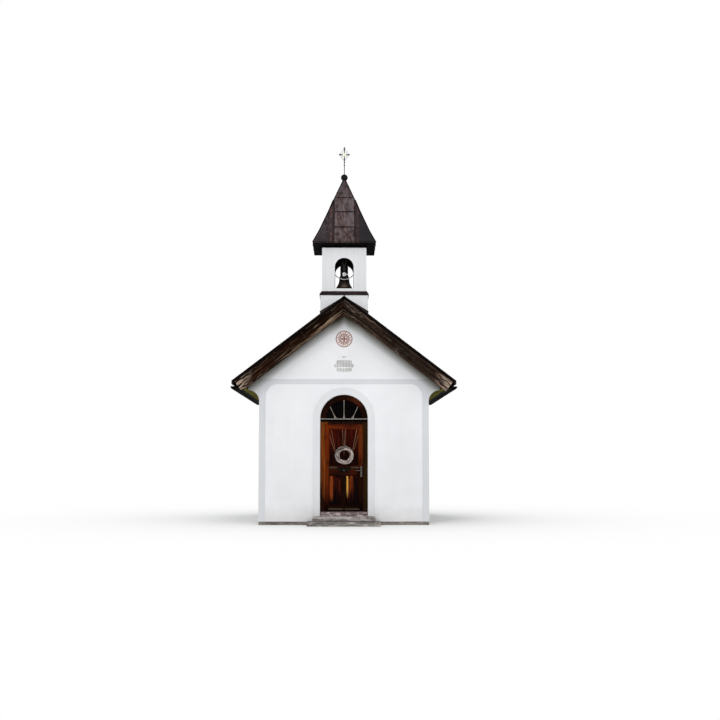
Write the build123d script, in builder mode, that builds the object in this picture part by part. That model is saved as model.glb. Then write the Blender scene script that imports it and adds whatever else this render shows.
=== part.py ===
from build123d import *
import os
from math import cos, radians, sin, tan

# A small rendered chapel with a saddle roof and a belfry riding on the ridge.
# Millimetres, +Z up, the door looks towards -Y, the origin lies on the ground
# under the middle of the whole outline.

os.makedirs("parts", exist_ok=True)

# Body of the chapel
body_width = 3770
body_length = 5700
wall = 400
wall_height = 3150
plinth_height = 75
plinth_recess = 8

# Steps, floor and threshold
step_rise = 97
upper_step_side = 5
upper_step_reach = 320
lower_step_side = 115
lower_step_reach = 620
slot_width = 380
slot_height = 34
slot_depth = 60
slot_offset = -185
sill_riser = 68
sill_lip = 23
sill_depth = 260

# Roof
pitch = 37.42
eave_reach = 575
verge_reach = 450
cover_thickness = 54
rafter_depth = 200
rafter_width = 100
rafter_bays = 6
rafter_gap = 40
rafter_seat = 16
purlin_width = 140
purlin_depth = 160
purlin_seat = 40
plate_size = 150
purlin_end_depth = 105
wall_skin = 60
ridge_cap_reach = 140
ridge_cap_thickness = 6

# Eaves and verges
soffit_thickness = 20
fascia_thickness = 28
board_thickness = 28
board_lap = 24
upper_board_depth = 126
lower_board_depth = 160
verge_past = 15
gutter_radius = 75
gutter_thickness = 5
gutter_gap = 3
gutter_drop = 45
gutter_lip = 20
drip_past = 55
cornice_reach = 250
cornice_drop = 500

# Doorway and its surround
opening_half = 530
opening_rise = 2060
surround_width = 155
surround_thickness = 18
frame_setback = 120
frame_depth = 90
frame_width = 92
frame_fit = 2
frame_stop = 15
stop_depth = 29
transom_drop = 20
transom_height = 90
transom_nose = 22

# Fanlight
sash_width = 30
sash_depth = 44
bar_setback = 5
bar_width = 24
fan_drop = 400
fan_angle = 24.9
glass_thickness = 8
glass_inset = 8
glass_play = 1

# Door leaf
leaf_thickness = 55
leaf_gap = 6
leaf_sweep = 8
stile = 92
top_rail = 110
lock_rail_rise = 792
lock_rail = 200
bottom_rail = 120
muntin = 70
panel_thickness = 24
panel_relief = 10
field_margin = 38
ray_angles = (-13.5, 0, 13.5)
ray_drop = 505
ray_start = 420
ray_length = 1400
ray_spread = 1.6
ledge_height = 34
ledge_nose = 16
ledge_reach = 22
ledge_drop = 45
ledge_inner = 150
foot_ledge_rise = 30
foot_ledge_inner = 20

# Handle, knob, hinges and wreath
handle_rise = 105
plate_width = 38
plate_drop = 138
plate_height = 230
plate_thickness = 5
lever_radius = 9
lever_reach = 48
lever_length = 125
knob_drop = 90
knob_radius = 20
knob_neck = 9
knob_reach = 48
hinge_radius = 9
hinge_height = 110
hinge_offset = 11
hinge_inset = 257
hinge_flap = 42
hinge_step = 2
flap_thickness = 4
pin_radius = 5
pin_play = 0.3
seat_gap = 0.3
wreath_radius = 161
wreath_tube = 52
wreath_rise = 246
wreath_offset = 10

# Relief on the front
frame_relief = 8
lesene_width = 145
band_drop = 117
band_height = 110
field_radius = 270

# Side windows
window_half = 260
window_sill_rise = 1238
window_rise = 650
window_setback = 150
window_frame_width = 55
window_frame_depth = 60
sill_thickness = 22
sill_fall = 14
sill_nose = 24

# Belfry
belfry_width = 1010
belfry_wall = 150
belfry_setback = 310
base_reach = 35
base_wall = 140
base_rise = 150
roof_cut = 20
drip_height = 20
drip_reach = 17
skirt_height = 75
skirt_fit = 2
flashing_thickness = 10
flashing_rise_side = 176
flashing_rise_ridge = 98
chamber_height = 1055
bell_sill_rise = 64
bell_opening_half = 214
bell_opening_rise = 491

# Spire and finial
spire_reach = 210
soffit_plate = 18
frieze_height = 54
frieze_thickness = 20
spire_rim = 20
spire_shell = 40
flare_height = 311
flare_run = 152
spire_height = 1289
spire_tip_half = 30
ball_radius = 80
ball_foot = 25
ball_height = 153
stem_radius = 9
collar_radius = 17
collar_drops = (181, 251)
cross_height = 654
cross_arm_drop = 181
cross_arm_half = 130
cross_foot = 150
cross_root = 16
cross_flare = 34
cross_bud = 13
cross_ray = 92
cross_ray_root = 18
cross_hub = 27
cross_thickness = 16

# Bell and its gear
axle_rise = 15
axle_radius = 14
axle_clearance = 1
axle_overhang = 35
headstock_drop = 125
headstock_width = 170
headstock_rise = 55
headstock_gap = 8
hanger_spacing = 400
hanger_thickness = 14
hanger_width = 150
beam_width = 80
beam_depth = 80
bell_height = 300
bell_mouth = 190
bell_wall = 12
bell_lip = 20
bell_crown = 72
bell_waist = 126
waist_drop = 165
shoulder_round = 34
inner_shoulder_drop = 40
inner_round = 14
clapper_rise = 5
clapper_rod = 8
clapper_ball = 26
wheel_radius = 265
wheel_rim = 16
wheel_hub = 32
wheel_spoke = 14
wheel_thickness = 16
wheel_gap = 50

# Places across and along the chapel, worked out from the sizes above
half_width = body_width / 2
inner_half = half_width - wall
slope = tan(radians(pitch))
upright_share = 1 / cos(radians(pitch))
eave_half = half_width + eave_reach
front = -(body_length + verge_reach - lower_step_reach) / 2
rear = front + body_length
front_inside = front + wall
rear_inside = rear - wall
roof_front = front - verge_reach
roof_rear = rear + verge_reach
verge_pack = 2 * board_thickness
window_middle = (front + rear) / 2
plate_middle = half_width - wall / 2
plate_half = plate_size / 2
gutter_x = eave_half - drip_past
rafter_end = gutter_x - gutter_radius - gutter_gap - fascia_thickness
rafter_top = cover_thickness
rafter_bottom = rafter_top + rafter_depth
surround_half = opening_half + surround_width
upper_step_half = surround_half + upper_step_side
lower_step_half = upper_step_half + lower_step_side
frame_front = front + frame_setback
frame_rear = frame_front + frame_depth
leaf_half = opening_half - frame_width - leaf_gap
leaf_rear = frame_rear
leaf_front = leaf_rear - leaf_thickness
belfry_half = belfry_width / 2
belfry_middle = front + belfry_setback + belfry_half
base_half = belfry_half + base_reach

# Heights, each from the one that carries it
floor_top = 2 * step_rise + sill_riser
sill_top = floor_top + sill_lip
springing = sill_top + opening_rise
transom_top = springing - transom_drop
transom_bottom = transom_top - transom_height
leaf_bottom = sill_top + leaf_sweep
leaf_top = transom_bottom - leaf_gap
lock_rail_bottom = leaf_bottom + lock_rail_rise
lock_rail_top = lock_rail_bottom + lock_rail
plate_bottom = plinth_height + wall_height
plate_top = plate_bottom + plate_size
ridge_height = plate_top - rafter_seat + (plate_middle + plate_half) * slope + rafter_bottom * upright_share
cornice_foot = plate_bottom - cornice_drop
cove_top = cornice_foot + cornice_reach
soffit_level = cove_top + soffit_thickness
band_bottom = plate_bottom - band_drop
window_sill = floor_top + window_sill_rise
window_springing = window_sill + window_rise
base_top = ridge_height + base_rise
chamber_foot = base_top + skirt_height
bell_sill = chamber_foot + bell_sill_rise
bell_springing = bell_sill + bell_opening_rise
chamber_top = chamber_foot + chamber_height
axle_height = bell_springing + axle_rise
headstock_bottom = axle_height - headstock_drop
bell_bottom = headstock_bottom - bell_height
soffit_top = chamber_top + soffit_plate
spire_eave = soffit_top + spire_rim
spire_kink = spire_eave + flare_height
spire_tip = spire_kink + spire_height
ball_top = spire_tip + ball_height
cross_top = ball_top + cross_height
cross_middle = cross_top - cross_arm_drop


def upright(y):
    # A plane that stands across the chapel at this depth, with X to the right and Z up
    return Plane.XZ.offset(-y)


def lengthwise(x):
    # A plane that stands along the chapel at this distance, with Y as its first axis
    return Plane.YZ.offset(x)


def roof_height(x, depth=0):
    # Height of the layer that lies this deep under the roof's surface
    return ridge_height - abs(x) * slope - depth * upright_share


def save(piece, label):
    piece.part.label = label
    export_step(piece.part, f"parts/{label}.step")


def block(x0, x1, y0, y1, z0, z1, mode=Mode.ADD):
    # A box between two corners, added to the part that is being built
    with Locations(((x0 + x1) / 2, (y0 + y1) / 2, (z0 + z1) / 2)):
        Box(abs(x1 - x0), abs(y1 - y0), abs(z1 - z0), mode=mode)


def rod(x, y, bottom, radius, height, mode=Mode.ADD):
    # An upright round bar in the part that is being built
    with Locations((x, y, bottom)):
        Cylinder(radius, height, align=(Align.CENTER, Align.CENTER, Align.MIN), mode=mode)


def arch_outline(half, bottom, spring, mode=Mode.ADD):
    # A round-headed shape in the sketch that is being drawn, taller than its half width
    with Locations((0, (bottom + spring) / 2)):
        Rectangle(2 * half, spring - bottom, mode=mode)
    with Locations((0, spring)):
        Circle(half, mode=mode)


def slope_strip(side, x_inner, x_outer, upper, lower):
    # A strip of the roof's section between two depths, on the right (+1) or left (-1)
    Polygon(
        (side * x_inner, roof_height(x_inner, upper)),
        (side * x_outer, roof_height(x_outer, upper)),
        (side * x_outer, roof_height(x_outer, lower)),
        (side * x_inner, roof_height(x_inner, lower)),
        align=None,
    )


# Plinth and floor
with BuildPart() as plinth:
    edge = half_width - plinth_recess
    block(-edge, edge, front + plinth_recess, rear - plinth_recess, 0, plinth_height)
    block(-inner_half, inner_half, front_inside, rear_inside, 0, plinth_height, Mode.SUBTRACT)
save(plinth, "plinth")

with BuildPart() as floor_slab:
    block(-inner_half, inner_half, front_inside, rear_inside, 0, floor_top)
save(floor_slab, "floor_slab")


# Walls with the doorway between two piers under an arched gable
def front_pier(side):
    with BuildPart() as pier:
        block(side * opening_half, side * half_width, front, front_inside, plinth_height, springing)
    return pier


front_wall_left = front_pier(-1)
save(front_wall_left, "front_wall_left")
front_wall_right = front_pier(1)
save(front_wall_right, "front_wall_right")

purlin_top = roof_height(0, rafter_bottom) + purlin_seat
purlin_centre = purlin_top - purlin_depth / 2
purlin_half = purlin_width / 2
skin_front = front + wall_skin
skin_rear = rear - wall_skin
plate_centre = plate_bottom + plate_half


def gable_outline(bottom):
    # The gable's face up to the underside of the roof covering
    Polygon(
        (-half_width, bottom),
        (half_width, bottom),
        (half_width, roof_height(half_width, rafter_top)),
        (0, roof_height(0, rafter_top)),
        (-half_width, roof_height(half_width, rafter_top)),
        align=None,
    )


def purlin_hole():
    # Where the ridge purlin's lighter end passes through a gable
    with Locations((0, purlin_top - purlin_end_depth / 2)):
        Rectangle(purlin_width, purlin_end_depth, mode=Mode.SUBTRACT)


def timber_pockets(y0, y1):
    # Where the full purlin and the two wall plates rest in a gable, short of its outer face
    block(-purlin_half, purlin_half, y0, y1, purlin_top - purlin_depth, purlin_top, Mode.SUBTRACT)
    for middle in (-plate_middle, plate_middle):
        block(middle - plate_half, middle + plate_half, y0, y1, plate_bottom, plate_top, Mode.SUBTRACT)


with BuildPart() as front_gable:
    with BuildSketch(upright(front)):
        gable_outline(springing)
        with Locations((0, springing)):
            Circle(opening_half, mode=Mode.SUBTRACT)
        purlin_hole()
    extrude(amount=-wall)
    timber_pockets(skin_front, front_inside)
save(front_gable, "front_gable")

with BuildPart() as rear_wall:
    with BuildSketch(upright(rear_inside)):
        gable_outline(plinth_height)
        purlin_hole()
    extrude(amount=-wall)
    timber_pockets(rear_inside, skin_rear)
save(rear_wall, "rear_wall")


def side_wall(side):
    with BuildPart() as long_wall:
        block(side * inner_half, side * half_width, front_inside, rear_inside, plinth_height, plate_bottom)
        with BuildSketch(lengthwise(side * inner_half)):
            with Locations((window_middle, 0)):
                arch_outline(window_half, window_sill, window_springing)
        extrude(amount=side * wall, mode=Mode.SUBTRACT)
    return long_wall


left_wall = side_wall(-1)
save(left_wall, "left_wall")
right_wall = side_wall(1)
save(right_wall, "right_wall")


# Relief on the front: corner strips, band across the gable foot and the door's surround
with BuildPart() as facade_frame:
    with BuildSketch(upright(front)):
        band_top = band_bottom + band_height
        with Locations((0, (plinth_height + band_top) / 2)):
            Rectangle(body_width, band_top - plinth_height)
        with BuildSketch(mode=Mode.SUBTRACT) as field:
            with Locations((0, (plinth_height + band_bottom) / 2)):
                Rectangle(body_width - 2 * lesene_width, band_bottom - plinth_height)
            fillet(field.vertices().group_by(Axis.Y)[-1], field_radius)
    extrude(amount=frame_relief)
save(facade_frame, "facade_frame")

with BuildPart() as door_surround:
    with BuildSketch(upright(front)):
        arch_outline(surround_half, 2 * step_rise, springing)
        arch_outline(opening_half, 2 * step_rise, springing, Mode.SUBTRACT)
    extrude(amount=surround_thickness)
save(door_surround, "door_surround")


# Steps and threshold
with BuildPart() as lower_step:
    step_nose = front - lower_step_reach
    block(-lower_step_half, lower_step_half, step_nose, front, 0, step_rise)
    slot_left = slot_offset - slot_width / 2
    block(slot_left, slot_left + slot_width, step_nose, step_nose + slot_depth, 0, slot_height, Mode.SUBTRACT)
save(lower_step, "lower_step")

with BuildPart() as upper_step:
    block(-upper_step_half, upper_step_half, front - upper_step_reach, front, step_rise, 2 * step_rise)
save(upper_step, "upper_step")

with BuildPart() as door_sill:
    block(-opening_half, opening_half, front, front_inside, plinth_height, floor_top)
    block(-opening_half, opening_half, front, front + sill_depth, floor_top, sill_top)
save(door_sill, "door_sill")


# Door frame with its stop and transom
with BuildPart() as door_frame:
    with BuildSketch(upright(frame_front)):
        arch_outline(opening_half - frame_fit, sill_top, springing)
        arch_outline(opening_half - frame_width - frame_stop, sill_top, springing, Mode.SUBTRACT)
    extrude(amount=-stop_depth)
    with BuildSketch(upright(frame_front + stop_depth)):
        arch_outline(opening_half - frame_fit, sill_top, springing)
        arch_outline(opening_half - frame_width, sill_top, springing, Mode.SUBTRACT)
    extrude(amount=-(frame_depth - stop_depth))
    bar_half = opening_half - frame_width
    block(-bar_half, bar_half, frame_front, frame_rear, transom_bottom, transom_top)
    stop_rear = frame_front + stop_depth
    block(-bar_half, bar_half, frame_front, stop_rear, transom_bottom - frame_stop, transom_bottom)
    nose_front = frame_front - transom_nose
    block(-bar_half, bar_half, nose_front, frame_front, transom_top - transom_nose, transom_top)
save(door_frame, "door_frame")


# Fanlight in the arch over the transom
sash_front = frame_front + stop_depth
sash_radius = opening_half - frame_width - frame_fit
glass_front = sash_front + (sash_depth - glass_thickness) / 2


def half_disc(radius, bottom):
    # The part of a disc about the springing that lies over this level
    with BuildSketch(mode=Mode.PRIVATE) as disc:
        with Locations((0, springing)):
            Circle(radius)
        with Locations((0, bottom)):
            Rectangle(4 * radius, 4 * radius, align=(Align.CENTER, Align.MAX), mode=Mode.SUBTRACT)
    return disc.sketch_local


with BuildPart() as fanlight_sash:
    with BuildSketch(upright(sash_front)):
        add(half_disc(sash_radius, transom_top))
        add(half_disc(sash_radius - sash_width, transom_top + sash_width), mode=Mode.SUBTRACT)
    extrude(amount=-sash_depth)
    with BuildSketch(upright(sash_front + bar_setback)):
        with Locations((0, springing - fan_drop)):
            for angle in (-fan_angle, 0, fan_angle):
                Rectangle(bar_width, fan_drop + sash_radius, rotation=angle, align=(Align.CENTER, Align.MIN))
        add(half_disc(sash_radius - sash_width / 2, transom_top + sash_width / 2), mode=Mode.INTERSECT)
    extrude(amount=-(sash_depth - 2 * bar_setback))
    with BuildSketch(upright(glass_front)):
        add(half_disc(sash_radius - glass_inset, transom_top + glass_inset))
    extrude(amount=-glass_thickness, mode=Mode.SUBTRACT)
save(fanlight_sash, "fanlight_sash")

with BuildPart() as fanlight_glass:
    with BuildSketch(upright(glass_front)):
        add(half_disc(sash_radius - glass_inset - glass_play, transom_top + glass_inset))
    extrude(amount=-glass_thickness)
save(fanlight_glass, "fanlight_glass")


# Door leaf: stiles and rails with a sunburst panel over two arched ones
upper_panel_top = leaf_top - top_rail
lower_panel_bottom = leaf_bottom + bottom_rail
panel_half = leaf_half - stile
panel_front = leaf_front + (leaf_thickness - panel_thickness) / 2
panel_rear = panel_front + panel_thickness

with BuildPart() as door_leaf:
    block(-leaf_half, leaf_half, leaf_front, leaf_rear, leaf_bottom, leaf_top)
    block(-panel_half, panel_half, leaf_front, leaf_rear, lock_rail_top, upper_panel_top, Mode.SUBTRACT)
    for inner, outer in ((-panel_half, -muntin / 2), (muntin / 2, panel_half)):
        block(inner, outer, leaf_front, leaf_rear, lower_panel_bottom, lock_rail_bottom, Mode.SUBTRACT)
save(door_leaf, "door_leaf")


def ray_point(angle, reach):
    # A point this far from the sunburst's centre, the angle counted from upright
    return (reach * sin(radians(angle)), lock_rail_top - ray_drop + reach * cos(radians(angle)))


with BuildPart() as door_upper_panel:
    block(-panel_half, panel_half, panel_front, panel_rear, lock_rail_top, upper_panel_top)
    with BuildSketch(upright(panel_front)):
        for angle in ray_angles:
            left_edge = ray_point(angle - ray_spread, ray_length)
            right_edge = ray_point(angle + ray_spread, ray_length)
            Polygon(ray_point(angle, ray_start), left_edge, right_edge, align=None)
        with Locations((0, (lock_rail_top + upper_panel_top) / 2)):
            Rectangle(2 * panel_half, upper_panel_top - lock_rail_top, mode=Mode.INTERSECT)
    extrude(amount=panel_relief)
save(door_upper_panel, "door_upper_panel")

with BuildPart() as door_lower_panels:
    field_half = (panel_half - muntin / 2) / 2 - field_margin
    field_spring = lock_rail_bottom - field_margin - field_half
    for inner, outer in ((-panel_half, -muntin / 2), (muntin / 2, panel_half)):
        block(inner, outer, panel_front, panel_rear, lower_panel_bottom, lock_rail_bottom)
        with BuildSketch(upright(panel_front)):
            with Locations(((inner + outer) / 2, 0)):
                arch_outline(field_half, lower_panel_bottom + field_margin, field_spring)
        extrude(amount=panel_relief)
save(door_lower_panels, "door_lower_panels")


def ledge_profile(bottom):
    # A weathered ledge on the leaf's face, sloped on top
    Polygon(
        (leaf_front, bottom),
        (leaf_front - ledge_reach, bottom),
        (leaf_front - ledge_reach, bottom + ledge_nose),
        (leaf_front, bottom + ledge_height),
        align=None,
    )


with BuildPart() as door_ledges:
    rows = ((lock_rail_top - ledge_drop, ledge_inner), (leaf_bottom + foot_ledge_rise, foot_ledge_inner))
    for level, inner in rows:
        with BuildSketch(lengthwise(-panel_half), lengthwise(inner)):
            ledge_profile(level)
        extrude(amount=panel_half - inner)
save(door_ledges, "door_ledges")


# Handles on both faces, a round knob on the lock rail, and the hinges
handle_x = leaf_half - stile / 2
handle_height = lock_rail_bottom + handle_rise
plate_left = handle_x - plate_width / 2
plate_foot = handle_height - plate_drop

with BuildPart() as door_handle:
    for face, outward in ((leaf_front, -1), (leaf_rear, 1)):
        plate_face = face + outward * plate_thickness
        block(plate_left, plate_left + plate_width, face, plate_face, plate_foot, plate_foot + plate_height)
        with BuildSketch(upright(face)):
            with Locations((handle_x, handle_height)):
                Circle(lever_radius)
        extrude(amount=-outward * lever_reach)
        with BuildSketch(lengthwise(handle_x - lever_length)):
            with Locations((face + outward * lever_reach, handle_height)):
                Circle(lever_radius)
        extrude(amount=lever_length)
    knob_height = lock_rail_top - knob_drop
    with BuildSketch(upright(leaf_front)):
        with Locations((0, knob_height)):
            Circle(knob_neck)
    extrude(amount=knob_reach - knob_radius)
    with Locations((0, leaf_front - knob_reach + knob_radius, knob_height)):
        Sphere(knob_radius)
save(door_handle, "door_handle")

hinge_x = -(leaf_half + leaf_gap / 2)
hinge_y = leaf_rear + hinge_offset
hinge_heights = (leaf_bottom + hinge_inset, (leaf_bottom + leaf_top) / 2, leaf_top - hinge_inset)
half_hinge = hinge_height / 2

with BuildPart() as door_hinges:
    for middle in hinge_heights:
        rod(hinge_x, hinge_y, middle, hinge_radius, half_hinge)
        top = middle + half_hinge
        block(hinge_x, hinge_x + hinge_flap, leaf_rear, leaf_rear + flap_thickness, middle, top)
        block(hinge_x, hinge_x + hinge_radius, leaf_rear, hinge_y, middle, top)
        rod(hinge_x, hinge_y, middle, pin_radius + pin_play, half_hinge, Mode.SUBTRACT)
save(door_hinges, "door_hinges")

with BuildPart() as hinge_pins:
    for middle in hinge_heights:
        top = middle - hinge_step
        foot = top - half_hinge
        rod(hinge_x, hinge_y, foot, hinge_radius, half_hinge)
        block(hinge_x - hinge_flap, hinge_x, frame_rear, frame_rear + flap_thickness, foot, top)
        block(hinge_x - hinge_radius, hinge_x, frame_rear, hinge_y, foot, top)
        rod(hinge_x, hinge_y, top, pin_radius, half_hinge)
save(hinge_pins, "hinge_pins")

with BuildPart() as door_wreath:
    wreath_y = panel_front - panel_relief - seat_gap - wreath_tube
    with Locations(Location((wreath_offset, wreath_y, lock_rail_top + wreath_rise), (90, 0, 0))):
        Torus(wreath_radius, wreath_tube)
save(door_wreath, "door_wreath")


# Side windows, one in each long wall, with a sloped sill in the outer reveal
def window_outline(x, half, bottom):
    # The window's round-headed shape, standing along the chapel at this distance
    with BuildSketch(lengthwise(x), mode=Mode.PRIVATE) as outline:
        with Locations((window_middle, 0)):
            arch_outline(half, bottom, window_springing)
    return outline.sketch


frame_outer = window_half - frame_fit
frame_inner = window_half - window_frame_width
pane_half = frame_inner + glass_inset
pane_sill = window_sill + window_frame_width - glass_inset
window_face = half_width - window_setback
window_back = window_face - window_frame_depth
glass_x = window_back + (window_frame_depth - glass_thickness) / 2

with BuildPart() as window_frames:
    for x in (window_back, -window_face):
        extrude(window_outline(x, frame_outer, window_sill), amount=window_frame_depth)
        hole = window_outline(x, frame_inner, window_sill + window_frame_width)
        extrude(hole, amount=window_frame_depth, mode=Mode.SUBTRACT)
    for x in (glass_x, -glass_x - glass_thickness):
        groove = window_outline(x, pane_half, pane_sill)
        extrude(groove, amount=glass_thickness, mode=Mode.SUBTRACT)
save(window_frames, "window_frames")

with BuildPart() as window_glass:
    for x in (glass_x, -glass_x - glass_thickness):
        extrude(window_outline(x, pane_half - glass_play, pane_sill), amount=glass_thickness)
save(window_glass, "window_glass")

with BuildPart() as window_sills:
    with BuildSketch(upright(window_middle - window_half)):
        for side in (-1, 1):
            Polygon(
                (side * window_face, window_sill),
                (side * window_face, window_sill + sill_thickness + sill_fall),
                (side * (half_width + sill_nose), window_sill + sill_thickness),
                (side * (half_width + sill_nose), window_sill),
                align=None,
            )
    extrude(amount=-2 * window_half)
save(window_sills, "window_sills")


# Roof timbers
timber_front = roof_front + verge_pack
timber_rear = roof_rear - verge_pack

with BuildPart() as ridge_purlin:
    block(-purlin_half, purlin_half, timber_front, timber_rear, purlin_top - purlin_end_depth, purlin_top)
    block(-purlin_half, purlin_half, skin_front, skin_rear, purlin_top - purlin_depth, purlin_top)
save(ridge_purlin, "ridge_purlin")

with BuildPart() as wall_plates:
    for middle in (-plate_middle, plate_middle):
        block(middle - plate_half, middle + plate_half, skin_front, skin_rear, plate_bottom, plate_top)
save(wall_plates, "wall_plates")

inside_run = rear_inside - front_inside - rafter_width - 2 * rafter_gap
end_rafters = [timber_front, timber_rear - rafter_width]
rafter_step = inside_run / rafter_bays
inner_rafters = [front_inside + rafter_gap + rafter_step * bay for bay in range(rafter_bays + 1)]


def rafter_outline(side):
    # One rafter, notched over the ridge purlin, its tail cut level over the soffit
    slope_strip(side, 0, rafter_end, rafter_top, rafter_bottom)
    with Locations((0, purlin_centre)):
        Rectangle(purlin_width, purlin_depth, mode=Mode.SUBTRACT)
    with Locations((side * rafter_end, soffit_level)):
        Rectangle(2 * cornice_reach, cornice_reach, align=(Align.CENTER, Align.MAX), mode=Mode.SUBTRACT)


def rafter_row(side):
    # The rafters of one slope, those over the walls notched for the wall plate too
    with BuildPart() as row:
        with BuildSketch(*[upright(place) for place in end_rafters]):
            rafter_outline(side)
        extrude(amount=-rafter_width)
        with BuildSketch(*[upright(place) for place in inner_rafters]):
            rafter_outline(side)
            with Locations((side * plate_middle, plate_centre)):
                Rectangle(plate_size, plate_size, mode=Mode.SUBTRACT)
        extrude(amount=-rafter_width)
    return row


rafters_left = rafter_row(-1)
save(rafters_left, "rafters_left")
rafters_right = rafter_row(1)
save(rafters_right, "rafters_right")


# Roof covering and ridge cap
def roof_side(side):
    with BuildPart() as covering:
        with BuildSketch(upright(roof_front)):
            slope_strip(side, 0, eave_half, 0, cover_thickness)
        extrude(amount=-(roof_rear - roof_front))
    return covering


roof_left = roof_side(-1)
save(roof_left, "roof_left")
roof_right = roof_side(1)
save(roof_right, "roof_right")

flashing_half = base_half + flashing_thickness
with BuildPart() as ridge_cap:
    cap_runs = ((roof_front, belfry_middle - flashing_half), (belfry_middle + flashing_half, roof_rear))
    for start, end in cap_runs:
        with BuildSketch(upright(start)):
            for side in (-1, 1):
                slope_strip(side, 0, ridge_cap_reach, -ridge_cap_thickness, 0)
        extrude(amount=-(end - start))
save(ridge_cap, "ridge_cap")


# Level boards under the rafter tails with an upright fascia at their ends
with BuildPart() as eave_boards:
    with BuildSketch(upright(timber_front)):
        fascia_face = rafter_end + fascia_thickness
        for side in (-1, 1):
            Polygon(
                (side * (half_width + cornice_reach), cove_top),
                (side * fascia_face, cove_top),
                (side * fascia_face, roof_height(fascia_face, rafter_top)),
                (side * rafter_end, roof_height(rafter_end, rafter_top)),
                (side * rafter_end, soffit_level),
                (side * (half_width + cornice_reach), soffit_level),
                align=None,
            )
    extrude(amount=-(timber_rear - timber_front))
save(eave_boards, "eave_boards")


def square_strip(side, x_end, upper, lower):
    # A board's outline along the slope with its foot cut square to the slope
    sunk = lower - upper
    Polygon(
        (0, roof_height(0, upper)),
        (side * x_end, roof_height(x_end, upper)),
        (side * (x_end - sunk * sin(radians(pitch))), roof_height(x_end, upper) - sunk * cos(radians(pitch))),
        (0, roof_height(0, lower)),
        align=None,
    )


lower_board_top = rafter_top + upper_board_depth - board_lap
verge_end = gutter_x - verge_past
lower_verge_end = verge_end - (lower_board_top - rafter_top) * sin(radians(pitch))


def verge_boards(side, outer_face, inward):
    # Two lapped boards: the upper one outside, the lower one behind it
    with BuildPart() as boards:
        with BuildSketch(upright(outer_face)):
            square_strip(side, verge_end, rafter_top, rafter_top + upper_board_depth)
        extrude(amount=-inward * board_thickness)
        with BuildSketch(upright(outer_face + inward * board_thickness)):
            square_strip(side, lower_verge_end, lower_board_top, lower_board_top + lower_board_depth)
        extrude(amount=-inward * board_thickness)
    return boards


front_verge_left = verge_boards(-1, roof_front, 1)
save(front_verge_left, "front_verge_left")
front_verge_right = verge_boards(1, roof_front, 1)
save(front_verge_right, "front_verge_right")
rear_verge_left = verge_boards(-1, roof_rear, -1)
save(rear_verge_left, "rear_verge_left")
rear_verge_right = verge_boards(1, roof_rear, -1)
save(rear_verge_right, "rear_verge_right")


# Half-round gutters, closed in front and open at the rear where they spill
gutter_top = roof_height(eave_half, rafter_top) - gutter_drop


def gutter_section(side, radius):
    # The lower half of a round about the gutter's middle
    with Locations((side * gutter_x, gutter_top)):
        Circle(radius)
        Rectangle(3 * radius, 3 * radius, align=(Align.CENTER, Align.MIN), mode=Mode.SUBTRACT)


with BuildPart() as gutters:
    for side in (-1, 1):
        with BuildSketch(upright(roof_front)):
            gutter_section(side, gutter_radius)
            with Locations((side * gutter_x, gutter_top)):
                Circle(gutter_radius - gutter_thickness, mode=Mode.SUBTRACT)
            lip_width = gutter_thickness + gutter_gap
            lip_middle = gutter_x - gutter_radius - gutter_gap + lip_width / 2
            with Locations((side * lip_middle, gutter_top - gutter_lip / 2)):
                Rectangle(lip_width, gutter_lip)
        extrude(amount=-(roof_rear - roof_front))
        with BuildSketch(upright(roof_front)):
            gutter_section(side, gutter_radius)
        extrude(amount=-gutter_thickness)
save(gutters, "gutters")


# Coved cornice between the side walls and the eave boards
with BuildPart() as eave_cornices:
    cove_end = half_width + cornice_reach
    turn = cornice_reach * (1 - cos(radians(45)))
    for side in (-1, 1):
        with BuildSketch(upright(front)):
            with BuildLine():
                wall_point = (side * half_width, cornice_foot)
                eave_point = (side * cove_end, cove_top)
                ThreePointArc(wall_point, (side * (half_width + turn), cove_top - turn), eave_point)
                Polyline(
                    eave_point,
                    (side * cove_end, roof_height(cove_end, rafter_bottom)),
                    (side * half_width, roof_height(half_width, rafter_bottom)),
                    wall_point,
                )
            make_face()
        extrude(amount=-(rear - front))
save(eave_cornices, "eave_cornices")


# Belfry: a base astride the ridge, its flashing and a sloped skirt
def belfry_square(half, bottom, top, mode=Mode.ADD):
    block(-half, half, belfry_middle - half, belfry_middle + half, bottom, top, mode)


def level_square(half, height):
    with BuildSketch(Plane((0, belfry_middle, height)), mode=Mode.PRIVATE) as square:
        Rectangle(2 * half, 2 * half)
    return square.sketch


def square_loft(lower_half, lower, upper_half, upper, mode=Mode.ADD):
    # A four-sided frustum between two levels of the belfry
    loft([level_square(lower_half, lower), level_square(upper_half, upper)], ruled=True, mode=mode)


base_foot = roof_height(base_half) - roof_cut
with BuildPart() as belfry_base:
    belfry_square(base_half, base_foot, base_top)
    belfry_square(base_half - base_wall, base_foot, base_top, Mode.SUBTRACT)
    with BuildSketch(upright(belfry_middle - base_half)):
        Polygon(
            (-2 * base_half, roof_height(2 * base_half)),
            (0, ridge_height),
            (2 * base_half, roof_height(2 * base_half)),
            align=None,
        )
    extrude(amount=-2 * base_half, mode=Mode.SUBTRACT)
save(belfry_base, "belfry_base")

with BuildPart() as belfry_flashing:
    with BuildSketch(upright(belfry_middle - flashing_half)):
        edge_foot = roof_height(flashing_half)
        Polygon(
            (-flashing_half, edge_foot),
            (-flashing_half, edge_foot + flashing_rise_side),
            (0, ridge_height + flashing_rise_ridge),
            (flashing_half, edge_foot + flashing_rise_side),
            (flashing_half, edge_foot),
            (0, ridge_height),
            align=None,
        )
    extrude(amount=-2 * flashing_half)
    belfry_square(base_half, base_foot, base_top, Mode.SUBTRACT)
save(belfry_flashing, "belfry_flashing")

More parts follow.
